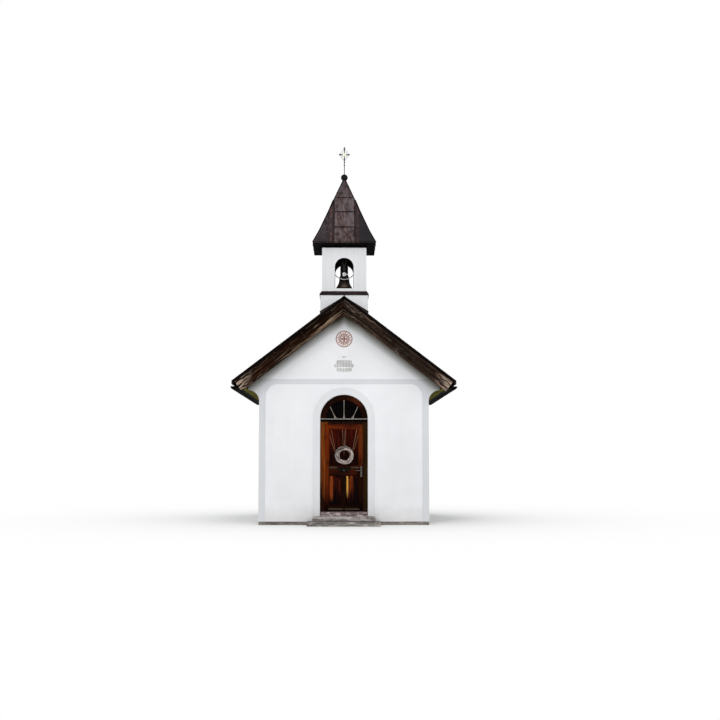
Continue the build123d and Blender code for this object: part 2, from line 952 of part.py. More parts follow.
with BuildPart() as belfry_ledge:
    skirt_half = base_half + drip_reach
    square_loft(skirt_half, base_top, belfry_half + skirt_fit, chamber_foot)
    belfry_square(skirt_half, base_top - drip_height, base_top)
    belfry_square(base_half, base_top - drip_height, base_top, Mode.SUBTRACT)
save(belfry_ledge, "belfry_ledge")

chamber_centre = (chamber_foot + chamber_top) / 2


def cross_wall(y):
    # Front or rear wall of the bell chamber with its round-headed opening
    with BuildPart() as chamber_wall:
        with BuildSketch(upright(y)):
            with Locations((0, chamber_centre)):
                Rectangle(belfry_width, chamber_height)
            arch_outline(bell_opening_half, bell_sill, bell_springing, Mode.SUBTRACT)
        extrude(amount=-belfry_wall)
    return chamber_wall


def flank_wall(x):
    # Left or right wall of the bell chamber, between the other two
    with BuildPart() as chamber_wall:
        with BuildSketch(lengthwise(x)):
            with Locations((belfry_middle, chamber_centre)):
                Rectangle(belfry_width - 2 * belfry_wall, chamber_height)
            with Locations((belfry_middle, 0)):
                arch_outline(bell_opening_half, bell_sill, bell_springing, Mode.SUBTRACT)
        extrude(amount=belfry_wall)
    return chamber_wall


belfry_front_wall = cross_wall(belfry_middle - belfry_half)
save(belfry_front_wall, "belfry_front_wall")
belfry_rear_wall = cross_wall(belfry_middle + belfry_half - belfry_wall)
save(belfry_rear_wall, "belfry_rear_wall")
belfry_left_wall = flank_wall(-belfry_half)
save(belfry_left_wall, "belfry_left_wall")
belfry_right_wall = flank_wall(belfry_half - belfry_wall)
save(belfry_right_wall, "belfry_right_wall")


# Spire: a hollow four-sided roof with a flared foot over its soffit, with a frieze under that
spire_half = belfry_half + spire_reach
kink_half = spire_half - flare_run

with BuildPart() as spire_soffit:
    frieze_half = belfry_half + frieze_thickness
    belfry_square(frieze_half, chamber_top - frieze_height, chamber_top)
    belfry_square(belfry_half, chamber_top - frieze_height, chamber_top, Mode.SUBTRACT)
    belfry_square(spire_half, chamber_top, soffit_top)
save(spire_soffit, "spire_soffit")

with BuildPart() as spire_roof:
    belfry_square(spire_half, soffit_top, spire_eave)
    square_loft(spire_half, spire_eave, kink_half, spire_kink)
    square_loft(kink_half, spire_kink, spire_tip_half, spire_tip)
    inner_lean = (kink_half - spire_tip_half) / spire_height
    inner_tip = spire_tip - spire_shell / inner_lean
    belfry_square(spire_half - spire_shell, soffit_top, spire_eave, Mode.SUBTRACT)
    square_loft(spire_half - spire_shell, spire_eave, kink_half - spire_shell, spire_kink, Mode.SUBTRACT)
    square_loft(kink_half - spire_shell, spire_kink, spire_tip_half, inner_tip, Mode.SUBTRACT)
save(spire_roof, "spire_roof")

with BuildPart() as finial_ball:
    with BuildSketch(upright(belfry_middle)):
        with BuildLine():
            foot_point = (ball_foot, spire_tip)
            neck_point = (stem_radius, ball_top)
            ThreePointArc(foot_point, (ball_radius, spire_tip + ball_radius), neck_point)
            Polyline(neck_point, (0, ball_top), (0, spire_tip), foot_point)
        make_face()
    revolve(axis=Axis((0, belfry_middle, 0), (0, 0, 1)))
save(finial_ball, "finial_ball")


def cross_arm(angle, reach):
    # One flared arm of the cross with a round bud at its tip
    Polygon(
        (-cross_root / 2, 0),
        (cross_root / 2, 0),
        (cross_flare / 2, reach - cross_bud),
        (-cross_flare / 2, reach - cross_bud),
        rotation=angle,
        align=None,
    )
    with PolarLocations(reach - cross_bud, 1, start_angle=90 + angle):
        Circle(cross_bud)


with BuildPart() as finial_cross:
    rod(0, belfry_middle, ball_top, stem_radius, cross_middle - ball_top)
    with Locations(*[(0, belfry_middle, cross_middle - drop) for drop in collar_drops]):
        Sphere(collar_radius)
    with BuildSketch(upright(belfry_middle - cross_thickness / 2)):
        with Locations((0, cross_middle)):
            Circle(cross_hub)
            cross_arm(0, cross_arm_drop)
            cross_arm(90, cross_arm_half)
            cross_arm(180, cross_foot)
            cross_arm(270, cross_arm_half)
            for angle in (45, 135, 225, 315):
                ray_root = cross_ray_root / 2
                Polygon((-ray_root, 0), (ray_root, 0), (0, cross_ray), rotation=angle, align=None)
    extrude(amount=-cross_thickness)
save(finial_cross, "finial_cross")


# Bell with its yoke, wheel and clapper, hung between two hangers
beam_bottom = chamber_top - beam_depth
chamber_inner = belfry_half - belfry_wall

with BuildPart() as bell_hangers:
    for middle in (belfry_middle - hanger_spacing / 2, belfry_middle + hanger_spacing / 2):
        beam_face = middle - beam_width / 2
        block(-chamber_inner, chamber_inner, beam_face, beam_face + beam_width, beam_bottom, chamber_top)
        with BuildSketch(upright(middle - hanger_thickness / 2)):
            with Locations((0, (axle_height + beam_bottom) / 2)):
                Rectangle(hanger_width, beam_bottom - axle_height)
            with Locations((0, axle_height)):
                Circle(hanger_width / 2)
                Circle(axle_radius + axle_clearance, mode=Mode.SUBTRACT)
        extrude(amount=-hanger_thickness)
save(bell_hangers, "bell_hangers")

yoke_half = (hanger_spacing - hanger_thickness) / 2 - headstock_gap
wheel_middle = belfry_middle - hanger_spacing / 2 - wheel_gap

with BuildPart() as bell_headstock:
    block(
        -headstock_width / 2, headstock_width / 2, belfry_middle - yoke_half, belfry_middle + yoke_half,
        headstock_bottom, axle_height + headstock_rise,
    )
    axle_front = wheel_middle - axle_overhang
    axle_rear = belfry_middle + hanger_spacing / 2 + axle_overhang
    with BuildSketch(upright(axle_front)):
        with Locations((0, axle_height)):
            Circle(axle_radius)
    extrude(amount=-(axle_rear - axle_front))
save(bell_headstock, "bell_headstock")

with BuildPart() as bell:
    crown = headstock_bottom
    shoulder = bell_crown + shoulder_round
    waist_height = crown - waist_drop
    with BuildSketch(upright(belfry_middle)):
        with BuildLine():
            RadiusArc((bell_crown, crown), (shoulder, crown - shoulder_round), shoulder_round)
            mouth = (bell_mouth, bell_bottom)
            outer_shoulder = (shoulder, crown - shoulder_round)
            outer_waist = (bell_waist, waist_height)
            Spline(outer_shoulder, outer_waist, mouth, tangents=((0.05, -1), (0.55, -1)))
            inner_mouth = (bell_mouth - bell_lip, bell_bottom)
            Line(mouth, inner_mouth)
            inner_waist = (bell_waist - bell_wall, waist_height)
            inner_shoulder = (shoulder - bell_wall, crown - inner_shoulder_drop)
            Spline(inner_mouth, inner_waist, inner_shoulder, tangents=((-0.5, 1), (-0.05, 1)))
            Polyline(
                inner_shoulder,
                (shoulder - bell_wall - inner_round, crown - bell_wall),
                (0, crown - bell_wall),
                (0, crown),
                (bell_crown, crown),
            )
        make_face()
    revolve(axis=Axis((0, belfry_middle, 0), (0, 0, 1)))
save(bell, "bell")

with BuildPart() as bell_clapper:
    ball_centre = bell_bottom + clapper_rise + clapper_ball
    rod(0, belfry_middle, ball_centre, clapper_rod, crown - bell_wall - ball_centre)
    with Locations((0, belfry_middle, ball_centre)):
        Sphere(clapper_ball)
save(bell_clapper, "bell_clapper")

with BuildPart() as bell_wheel:
    with BuildSketch(upright(wheel_middle - wheel_thickness / 2)):
        with Locations((0, axle_height)):
            Circle(wheel_radius)
            Circle(wheel_radius - wheel_rim, mode=Mode.SUBTRACT)
            Circle(wheel_hub)
            for angle in (75, 105):
                Rectangle(2 * wheel_radius - wheel_rim, wheel_spoke, rotation=angle)
            Circle(axle_radius + seat_gap, mode=Mode.SUBTRACT)
    extrude(amount=-wheel_thickness)
save(bell_wheel, "bell_wheel")
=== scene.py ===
import math
import random

import bmesh
import bpy
from mathutils import Matrix, Vector, noise


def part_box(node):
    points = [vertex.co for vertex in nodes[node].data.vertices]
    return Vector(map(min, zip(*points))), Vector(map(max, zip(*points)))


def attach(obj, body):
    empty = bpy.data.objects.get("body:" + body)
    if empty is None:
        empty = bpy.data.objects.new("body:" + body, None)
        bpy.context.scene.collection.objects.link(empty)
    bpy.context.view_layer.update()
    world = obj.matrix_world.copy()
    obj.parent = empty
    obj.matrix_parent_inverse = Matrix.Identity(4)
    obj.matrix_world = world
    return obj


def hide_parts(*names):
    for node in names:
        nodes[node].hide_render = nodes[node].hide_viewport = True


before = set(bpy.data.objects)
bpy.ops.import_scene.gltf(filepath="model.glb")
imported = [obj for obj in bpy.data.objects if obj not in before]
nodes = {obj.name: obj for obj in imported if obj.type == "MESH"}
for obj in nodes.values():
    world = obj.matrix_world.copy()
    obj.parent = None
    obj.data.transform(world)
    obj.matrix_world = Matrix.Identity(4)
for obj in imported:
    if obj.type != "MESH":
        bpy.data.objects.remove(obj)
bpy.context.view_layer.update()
print("frame: %d nodes" % len(nodes))

# Sizes that several pieces share, in metres, read from the frame where it has them
chapel = {
    "pitch": math.radians(37.42),
    "ridge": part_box("roof_left")[1].z,
    "front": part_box("front_gable")[0].y,
    "roofFront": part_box("roof_left")[0].y,
    "roofRear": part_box("roof_left")[1].y,
    "eaveHalf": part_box("roof_right")[1].x,
    "belfryMiddle": (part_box("spire_roof")[0].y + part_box("spire_roof")[1].y) / 2,
}
slope = math.tan(chapel["pitch"])
pitchCos, pitchSin = math.cos(chapel["pitch"]), math.sin(chapel["pitch"])
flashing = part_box("belfry_flashing")
rightward = Vector((1, 0, 0))
ahead = Vector((0, 1, 0))
up = Vector((0, 0, 1))


# Colours are written as they look, 0 to 255
def paint(red, green, blue):
    out = []
    for value in (red, green, blue):
        part = value / 255
        out.append(part / 12.92 if part <= 0.04045 else ((part + 0.055) / 1.055) ** 2.4)
    return (*out, 1.0)


def shaded(tone, share):
    return tuple(value * share for value in tone)


# Shader building blocks; each finds its node tree in the sockets that it is given
def startFinish(name, roughness, metallic=0.0, gloss=0.5, flat=False):
    # Returns the finish and its coordinates: those of the body in metres, or flat ones
    finish = bpy.data.materials.new(name)
    finish.use_nodes = True
    tree = finish.node_tree
    shader = tree.nodes["Principled BSDF"]
    shader.inputs["Roughness"].default_value = roughness
    shader.inputs["Metallic"].default_value = metallic
    shader.inputs["Specular IOR Level"].default_value = gloss
    return finish, addNode("TexCoord", tree=tree).outputs["UV" if flat else "Object"]


def isSocket(value):
    return isinstance(value, bpy.types.NodeSocket)


def addNode(kind, inputs=None, tree=None, **settings):
    inputs = inputs or {}
    tree = tree or next(value.id_data for value in inputs.values() if isSocket(value))
    made = tree.nodes.new("ShaderNode" + kind)
    for key, value in settings.items():
        setattr(made, key, value)
    for key, value in inputs.items():
        if isSocket(value):
            tree.links.new(value, made.inputs[key])
        else:
            made.inputs[key].default_value = value
    return made


def calc(operation, first, second=0.0):
    return addNode("Math", {0: first, 1: second}, operation=operation).outputs[0]


def times(first, second):
    return calc("MULTIPLY", first, second)


def plus(first, second):
    return calc("ADD", first, second)


def minus(first, second):
    return calc("SUBTRACT", first, second)


def absolute(value):
    return calc("ABSOLUTE", value)


def larger(first, second):
    return calc("MAXIMUM", first, second)


def blend(first, second, share):
    # share of the second, the rest of the first
    return plus(times(first, 1 - share), times(second, share))


def inRange(value, low, high, start=0.0, end=1.0):
    # Maps low..high to start..end, held at both ends
    return addNode("MapRange", {0: value, 1: low, 2: high, 3: start, 4: end}).outputs[0]


def bodyCoords(finish):
    return addNode("TexCoord", tree=finish.node_tree).outputs["Object"]


def split(vector):
    made = addNode("SeparateXYZ", {0: vector})
    return made.outputs[0], made.outputs[1], made.outputs[2]


def bodyPlace(finish):
    return split(bodyCoords(finish))


def facingOf(finish):
    return split(addNode("NewGeometry", tree=finish.node_tree).outputs["Normal"])


def stretch(coords, scale=(1, 1, 1), turn=(0, 0, 0)):
    return addNode("Mapping", {"Vector": coords, "Rotation": turn, "Scale": scale}).outputs[0]


def cloud(coords, scale, detail=4.0, rough=0.55):
    wanted = {"Vector": coords, "Scale": scale, "Detail": detail, "Roughness": rough}
    return addNode("TexNoise", wanted).outputs[0]


def streaks(coords, scale, detail=4.0, rough=0.55):
    # A cloud pulled long by its three scales
    return cloud(stretch(coords, scale), 1.0, detail, rough)


def bendGrain(coords, scale, detail, amount):
    # Lets the grain wander sideways
    flow = times(streaks(coords, scale, detail), amount)
    return addNode("VectorMath", {0: coords, 1: flow}, operation="ADD").outputs[0]


def tones(amount, stops):
    made = addNode("ValToRGB", {0: amount})
    bar = made.color_ramp
    for element, (place, tone) in zip(bar.elements, (stops[0], stops[-1])):
        element.position = place
        element.color = paint(*tone)
    for place, tone in stops[1:-1]:
        bar.elements.new(place).color = paint(*tone)
    return made.outputs[0]


def mottled(amount, tone, share, low, high):
    # A tone that darkens to a share of itself where the amount is low
    return tones(amount, [(low, shaded(tone, share)), (high, tone)])


def mixTones(amount, first, second, kind="MIX"):
    # Each of the two is a socket, or a tone of three parts
    pair = [value if isSocket(value) else paint(*value) for value in (first, second)]
    made = addNode("Mix", {0: amount, 6: pair[0], 7: pair[1]}, data_type="RGBA", blend_type=kind)
    return made.outputs[2]


def dress(finish, colour, layers, **others):
    # Joins colour, relief and other inputs to the shader
    # A layer of relief is a height, a strength and a depth in metres
    tree = finish.node_tree
    shader = tree.nodes["Principled BSDF"]
    normal = None
    for height, strength, depth in layers:
        bump = addNode("Bump", {"Height": height, "Strength": strength, "Distance": depth})
        if normal:
            tree.links.new(normal, bump.inputs["Normal"])
        normal = bump.outputs[0]
    tree.links.new(normal, shader.inputs["Normal"])
    for key, value in {"Base Color": colour, **others}.items():
        tree.links.new(value, shader.inputs[key])
    return finish


def coatOver(finish, amount, coat):
    # Lays a coat over a finish's own colour
    tree = finish.node_tree
    colour = tree.nodes["Principled BSDF"].inputs["Base Color"]
    tree.links.new(mixTones(amount, colour.links[0].from_socket, coat), colour)
    return finish


def plasterRelief(coords, strength, depth):
    return [(cloud(coords, 7, 3), 0.35, 0.006), (cloud(coords, 130, 4, 0.7), strength, depth)]


# Finishes
def plasterFinish(name, tone, soiling=0.5, grainDepth=0.0016):
    # Lime render: trowel waves, fine grain, a soiled foot and faint rain streaks
    finish, coords = startFinish(name, 0.92, gloss=0.25)
    height = split(coords)[2]
    wave = cloud(coords, 1.1, 5)
    base = mottled(wave, tone, 0.965, 0.3, 0.7)
    streak = streaks(coords, (9, 9, 0.35), 3)
    streakAmount = times(inRange(streak, 0.55, 0.8), 0.16 * soiling)
    base = mixTones(streakAmount, base, (176, 174, 168))
    ragged = plus(height, times(cloud(coords, 5, 4), -0.35))
    foot = inRange(ragged, 0.28, -0.08)
    base = mixTones(times(foot, 0.5 * soiling), base, (158, 150, 138))
    speck = inRange(cloud(coords, 95, 2), 0.62, 0.75)
    base = mixTones(times(speck, 0.12), base, (196, 194, 188))
    return dress(finish, base, plasterRelief(coords, 0.55, grainDepth))


def boardFinish(name, deep, middle, light, bleach=0.5, rings=26.0, roughness=0.78):
    # Wood with its grain along the first flat coordinate, for pieces that carry their own
    finish, coords = startFinish(name, roughness, gloss=0.08, flat=True)
    bent = bendGrain(coords, (0.9, 5, 1), 3, 0.09)
    fibre = streaks(bent, (1.4, rings, 1), 6, 0.62)
    fine = streaks(coords, (7, 260, 1), 4, 0.7)
    mixed = blend(fibre, fine, 0.28)
    base = tones(mixed, [(0.3, deep), (0.5, middle), (0.74, light)])
    patch = inRange(streaks(coords, (0.8, 3, 1), 4), 0.48, 0.75)
    base = mixTones(times(patch, bleach), base, light)
    knots = addNode("TexVoronoi", {"Vector": stretch(coords, (1.3, 5.2, 1)), "Scale": 1.0})
    knot = inRange(knots.outputs["Distance"], 0.09, 0.03)
    base = mixTones(times(knot, 0.7), base, deep)
    return dress(finish, base, [(fibre, 0.6, 0.003), (fine, 0.5, 0.0009)])


def timberFinish(name, turn, deep, middle, light):
    # Sawn timber in the row's own frame; turn lays its X along the grain
    finish, coords = startFinish(name, 0.9, gloss=0.06)
    coords = stretch(coords, (1, 1, 1), turn)
    fibre = streaks(coords, (1.2, 24, 24), 5, 0.6)
    fine = streaks(coords, (6, 210, 210), 3, 0.65)
    mixed = blend(fibre, fine, 0.25)
    base = tones(mixed, [(0.3, deep), (0.52, middle), (0.75, light)])
    return dress(finish, base, [(fibre, 0.5, 0.002), (fine, 0.4, 0.0006)])


def eaveFinish(name, deep, middle, light, strip, olivePaintedShade):
    # Near-black boards; the soffit's inner strip takes the cove's olive: painted shade, painted green
    # reflection
    finish = timberFinish(name, (0, 0, math.radians(90)), deep, middle, light)
    coords = bodyCoords(finish)
    ragged = plus(absolute(split(coords)[0]), times(cloud(coords, 4, 4), 0.02))
    oliveShadeCoat = mottled(cloud(coords, 1.3, 5), olivePaintedShade, 0.75, 0.32, 0.68)
    return coatOver(finish, inRange(ragged, strip + 0.012, strip + 0.004), oliveShadeCoat)


def roofDepth(across, height):
    # How deep a point lies under the roof's surface, square to the slope
    fall = times(minus(chapel["ridge"], height), pitchCos)
    return minus(fall, times(absolute(across), pitchSin))


def vergeFinish(name, wood, streakTone, amount, shadeBands):
    # Old boards: near black with thin pale streaks and bleached feet
    # Bands are tones by depth under the roof: painted shade of the laps and of the inner board
    finish, coords = startFinish(name, 0.95, gloss=0.03, flat=True)
    across, _, height = bodyPlace(finish)
    depth = roofDepth(across, height)
    bent = bendGrain(coords, (0.7, 3, 1), 1, 0.014)
    fibre = streaks(bent, (0.8, 34, 1), 4, 0.6)
    fine = streaks(coords, (6, 240, 1), 4, 0.7)
    mixed = blend(fibre, fine, 0.25)
    base = tones(mixed, [(0.36, wood[0]), (0.5, wood[1]), (0.58, wood[2]), (0.7, wood[3])])
    russet = inRange(streaks(coords, (0.9, 4, 1), 3), 0.5, 0.66, 0, 0.5)
    base = mixTones(russet, base, wood[4])
    streak = streaks(bent, (0.5, 38, 1), 1.0, 0.4)
    patch = streaks(coords, (2.2, 7, 1), 2)
    pale = times(inRange(streak, 0.55, 0.62), inRange(patch, 0.44, 0.6, 0.1, 1.0))
    pale = times(times(pale, inRange(depth, 0.19, 0.24, 0.5, 1.0)), amount)
    base = mixTones(pale, base, streakTone)
    bandShade = tones(inRange(depth, 0.05, 0.33), [((d - 0.05) / 0.28, (v, v, v)) for d, v in shadeBands])
    base = mixTones(1.0, base, bandShade, "MULTIPLY")
    run = calc("DIVIDE", absolute(across), pitchCos)
    cracks = streaks(coords, (1.5, 36, 1), 2, 0.5)
    bare = times(inRange(run, 2.5, 2.93), inRange(cracks, 0.47, 0.54, 0.0, 0.95))
    base = mixTones(bare, base, (180, 160, 142))
    return dress(finish, base, [(fibre, 0.6, 0.003), (fine, 0.5, 0.0009)])


def paintedShadeUnderBoards(base, across, height, wave):
    # Painted shade, olive, in the angle under the verge boards, deepest at the apex
    depth = plus(roofDepth(across, height), times(wave, -0.05))
    middle = inRange(absolute(across), 0.35, 0.1)
    apex = times(inRange(depth, 0.50, 0.37, 0, 0.3), middle)
    amount = calc("MINIMUM", plus(inRange(depth, 0.436, 0.225, 0, 0.95), apex), 1.0)
    return mixTones(amount, base, (76, 70, 52))


def coveFinish(name, tone, deep):
    # Render whose hollow underside is painted olive; its ends in the gable walls stay pale
    # The olive is painted shade with a painted green reflection, paler towards the foot
    finish, coords = startFinish(name, 0.92, gloss=0.05)
    facing = facingOf(finish)
    ends = inRange(absolute(facing[1]), 0.8, 0.9)
    wave = cloud(coords, 1.3, 5)
    olivePaintedShade = mottled(wave, deep, 0.72, 0.32, 0.68)
    across, _, height = split(coords)
    foot = inRange(height, 2.83, 2.73)
    olivePaintedShade = mixTones(times(foot, 0.55), olivePaintedShade, shaded(tone, 0.8))
    # The ends get the painted shade under the boards
    pale = paintedShadeUnderBoards(tone, across, height, wave)
    base = mixTones(ends, olivePaintedShade, pale)
    return dress(finish, base, plasterRelief(coords, 0.5, 0.0014))


def gableFinish(name, tone):
    # Render of the gable end, with painted shade under its boards
    finish, coords = startFinish(name, 0.92, gloss=0.2)
    across, _, height = split(coords)
    wave = cloud(coords, 1.1, 5)
    base = mottled(wave, tone, 0.97, 0.3, 0.7)
    base = paintedShadeUnderBoards(base, across, height, wave)
    return dress(finish, base, plasterRelief(coords, 0.55, 0.0016))


def chamberFinish(name, tone, dark, half):
    # The bell chamber: pale outside, painted shade on every face that looks inwards or lines an opening
    finish, coords = startFinish(name, 0.92, gloss=0.15)
    across, along, _ = split(coords)
    lengthways = absolute(minus(along, chapel["belfryMiddle"]))
    reach = larger(absolute(across), lengthways)
    outside = inRange(reach, half - 0.004, half - 0.002)
    wave = cloud(coords, 1.4, 5)
    pale = mottled(wave, tone, 0.965, 0.3, 0.7)
    streak = streaks(coords, (11, 11, 0.5), 3)
    pale = mixTones(inRange(streak, 0.55, 0.8, 0, 0.14), pale, (150, 148, 144))
    insideShade = mottled(cloud(coords, 5, 5), dark, 0.6, 0.3, 0.7)
    return dress(finish, mixTones(outside, insideShade, pale), plasterRelief(coords, 0.5, 0.0014))


def crossFinish(name, dark, gold, middle):
    # Dark iron with gilding only round the middle of the cross
    finish, coords = startFinish(name, 0.4, 0.7)
    away = addNode("VectorMath", {0: coords, 1: middle}, operation="DISTANCE").outputs["Value"]
    ragged = plus(away, times(cloud(coords, 60, 3), 0.02))
    near = inRange(ragged, 0.058, 0.040)
    iron = mottled(cloud(coords, 30, 4), dark, 0.7, 0.35, 0.65)
    gilt = mottled(cloud(coords, 40, 4), gold, 0.85, 0.35, 0.65)
    return dress(finish, mixTones(near, iron, gilt), [(cloud(coords, 90, 3), 0.2, 0.0005)])


def wheelFinish(name, dark, bright, middle, rim):
    # Dark spokes and upper rim; the lower rim is painted bright, a painted highlight
    finish, coords = startFinish(name, 0.5, 0.3)
    across, _, height = split(coords)
    away = addNode("VectorMath", {0: coords, 1: middle}, operation="DISTANCE").outputs["Value"]
    lower = inRange(absolute(across), 0.17, 0.11, 0.15, 1.0)
    lower = times(lower, inRange(height, middle[2] + 0.05, middle[2] - 0.06))
    worn = times(inRange(away, rim, rim + 0.006), lower)
    mottle = cloud(coords, 30, 4)
    iron = mottled(mottle, dark, 0.6, 0.35, 0.65)
    rimHighlight = mottled(mottle, bright, 0.75, 0.35, 0.65)
    return dress(finish, mixTones(worn, iron, rimHighlight), [(cloud(coords, 90, 3), 0.2, 0.0005)])


def bellFinish(name, dark, brown, glow, lip):
    # Old bronze: dark, with a painted highlight low on the flare
    finish, coords = startFinish(name, 0.6, 0.3, gloss=0.15)
    across, _, height = split(coords)
    mottle = cloud(coords, 9, 5, 0.65)
    base = tones(mottle, [(0.36, dark), (0.64, brown)])
    low = calc("POWER", inRange(height, lip + 0.16, lip + 0.015), 1.7)
    centre = inRange(absolute(across), 0.12, 0.01)
    amount = times(times(low, centre), inRange(mottle, 0.3, 0.6, 0.55, 0.95))
    base = mixTones(amount, base, glow)
    return dress(finish, base, [(cloud(coords, 60, 4), 0.25, 0.0006)])


def sheetBase(coords, deep, light, worn):
    # Oxidised sheet: cloudy patina with runs down the fall, returns colour and cloud
    mottle = cloud(coords, 3.2, 6, 0.62)
    runs = streaks(coords, (14, 14, 0.9), 4)
    mixed = blend(mottle, runs, 0.4)
    base = tones(mixed, [(0.34, deep), (0.62, light)])
    scuff = inRange(cloud(coords, 22, 5, 0.7), 0.62, 0.8)
    base = mixTones(times(scuff, 0.4), base, worn)
    return base, mixed


def sheetFinish(name, deep, light, worn, roughness=0.5, metallic=0.55, sheen=0.4):
    finish, coords = startFinish(name, roughness, metallic, gloss=sheen)
    base, mixed = sheetBase(coords, deep, light, worn)
    return dress(finish, base, [(cloud(coords, 2.6, 3), 0.35, 0.006), (cloud(coords, 60, 3), 0.2, 0.0006)],
                 Roughness=inRange(mixed, 0.3, 0.7, roughness - 0.1, roughness + 0.16))


def panelFinish(name, panel, deep, light, worn):
    # The spire's sheets: a mottled middle panel, dark bluish sides, runs of rust beside the seams
    finish, coords = startFinish(name, 0.75, 0.1, gloss=0.12)
    across, along, height = split(coords)
    facing = facingOf(finish)
    sideways = calc("GREATER_THAN", absolute(facing[0]), absolute(facing[1]))
    lengthways = minus(along, panel["middle"])
    place = plus(times(across, minus(1.0, sideways)), times(lengthways, sideways))
    mottle = cloud(coords, 4.5, 4, 0.6)
    runs = streaks(coords, (22, 22, 0.8), 4, 0.6)
    mixed = blend(mottle, runs, 0.75)
    base = tones(mixed, [(0.36, deep), (0.5, light), (0.62, worn)])
    wash = inRange(streaks(coords, (7, 7, 0.9), 2, 0.5), 0.48, 0.64, 0, 0.6)
    base = mixTones(wash, base, panel["wash"])
    row = calc("FLOOR", calc("DIVIDE", minus(height, panel["foot"]), panel["rise"]))
    chance = addNode("TexWhiteNoise", {"W": row}, noise_dimensions="1D").outputs["Value"]
    shade = inRange(chance, 0, 1, 0.86, 1.1)
    grey = addNode("CombineColor", {0: shade, 1: shade, 2: shade}).outputs[0]
    base = mixTones(1.0, base, grey, "MULTIPLY")
    half = panel["width"] / 2
    for side, amount in ((-1, 0.66), (1, 0.93)):
        outer = inRange(times(place, side), half - 0.004, half + 0.05, 0, amount)
        base = mixTones(outer, base, panel["outer"])
    upper = inRange(height, 7.40, 7.60, 0, 0.35)
    base = mixTones(upper, base, panel["outer"])
    offSeam = minus(absolute(place), half)
    for middle, reach, tone in ((-0.05, 0.03, panel["wash"]), (0.07, 0.028, panel["rust"])):
        beside = inRange(absolute(minus(offSeam, middle)), reach, reach * 0.4)
        beside = times(beside, inRange(mixed, 0.42, 0.55, 0.05, 0.7))
        base = mixTones(beside, base, tone)
    # Painted shade beside the seams and at the welts; the band along the eave is darkened too
    seamShadeAndEave = inRange(absolute(offSeam), 0.028, 0.012, 0, 0.75)
    inside = inRange(offSeam, 0.0, -0.01)
    for level in panel["welts"]:
        line = inRange(absolute(minus(height, level)), 0.026, 0.012, 0, 0.5)
        seamShadeAndEave = larger(seamShadeAndEave, times(line, inside))
    eave = inRange(height, panel["eave"] + 0.05, panel["eave"] + 0.015, 0, 0.6)
    seamShadeAndEave = larger(seamShadeAndEave, eave)
    base = mixTones(seamShadeAndEave, base, (10, 7, 7))
    return dress(finish, base, [(cloud(coords, 2.2, 3), 0.5, 0.009), (cloud(coords, 55, 3), 0.2, 0.0006)])


def metalFinish(name, deep, light, roughness=0.4, metallic=1.0, size=9.0):
    finish, coords = startFinish(name, roughness, metallic)
    mottle = cloud(coords, size, 6, 0.65)
    base = tones(mottle, [(0.36, deep), (0.64, light)])
    return dress(finish, base, [(cloud(coords, size * 9, 4), 0.25, 0.0006)],
                 Roughness=inRange(mottle, 0.3, 0.7, roughness + 0.14, roughness - 0.06))


def stoneFinish(name, deep, middle, light, stain, size=1.0):
    # Weathered stone with darker pits, pale wear and dark stains
    finish, coords = startFinish(name, 0.88)
    large = cloud(stretch(coords, (1.6, 3, 5)), size * 2.6, 6, 0.65)
    small = cloud(coords, size * 42, 5, 0.7)
    mixed = blend(large, small, 0.35)
    base = tones(mixed, [(0.38, deep), (0.5, middle), (0.62, light)])
    blot = inRange(cloud(stretch(coords, (2.2, 5, 9)), size * 1.7, 5, 0.7), 0.56, 0.68)
    base = mixTones(times(blot, 0.65), base, stain)
    return dress(finish, base, [(large, 0.5, 0.008), (small, 0.7, 0.003)])


def glassFinish(name, tone):
    finish, coords = startFinish(name, 0.04)
    dust = inRange(cloud(coords, 6, 4), 0.45, 0.8, 0.03, 0.14)
    base = tones(cloud(coords, 3, 2), [(0.3, tone), (0.7, shaded(tone, 0.8))])
    shader = finish.node_tree.nodes["Principled BSDF"]
    shader.inputs["Transmission Weight"].default_value = 0.85
    shader.inputs["IOR"].default_value = 1.46
    return dress(finish, base, [(cloud(coords, 4, 2), 0.12, 0.004)], Roughness=dust)


def darkPaneFinish(name, deep, light):
    # Glass before an unlit room, painted near black as its shade, dusty so that little is mirrored in it
    finish, coords = startFinish(name, 0.5, gloss=0.02)
    base = tones(cloud(coords, 3, 3), [(0.35, deep), (0.7, light)])
    return dress(finish, base, [(cloud(coords, 4, 2), 0.12, 0.004)])


def roofFinish(name, sheet, wood, boardWidth):
    # Dark sheet above, aged boards below: the same solid shows both
    finish, coords = startFinish(name, 0.55)
    across = split(coords)[0]
    base = sheetBase(coords, *sheet)[0]
    run = calc("DIVIDE", absolute(across), pitchCos * boardWidth)
    groove = calc("PINGPONG", run, 0.5)
    fibre = streaks(coords, (26, 1.1, 26), 5, 0.6)
    board = tones(fibre, [(0.3, wood[0]), (0.52, wood[1]), (0.75, wood[2])])
    chance = addNode("TexWhiteNoise", {"W": calc("ROUND", run)}, noise_dimensions="1D").outputs["Value"]
    board = mixTones(times(chance, 0.4), board, wood[0])
    gap = inRange(groove, 0.47, 0.5)
    board = mixTones(gap, board, (12, 9, 7))
    below = calc("LESS_THAN", facingOf(finish)[2], 0.0)
    dent = times(minus(1.0, gap), below)
    return dress(finish, mixTones(below, base, board),
                 [(dent, 0.8, 0.006), (cloud(coords, 2.4, 3), 0.3, 0.006)],
                 Roughness=inRange(below, 0, 1, 0.5, 0.85),
                 Metallic=inRange(below, 0, 1, 0.55, 0.0))


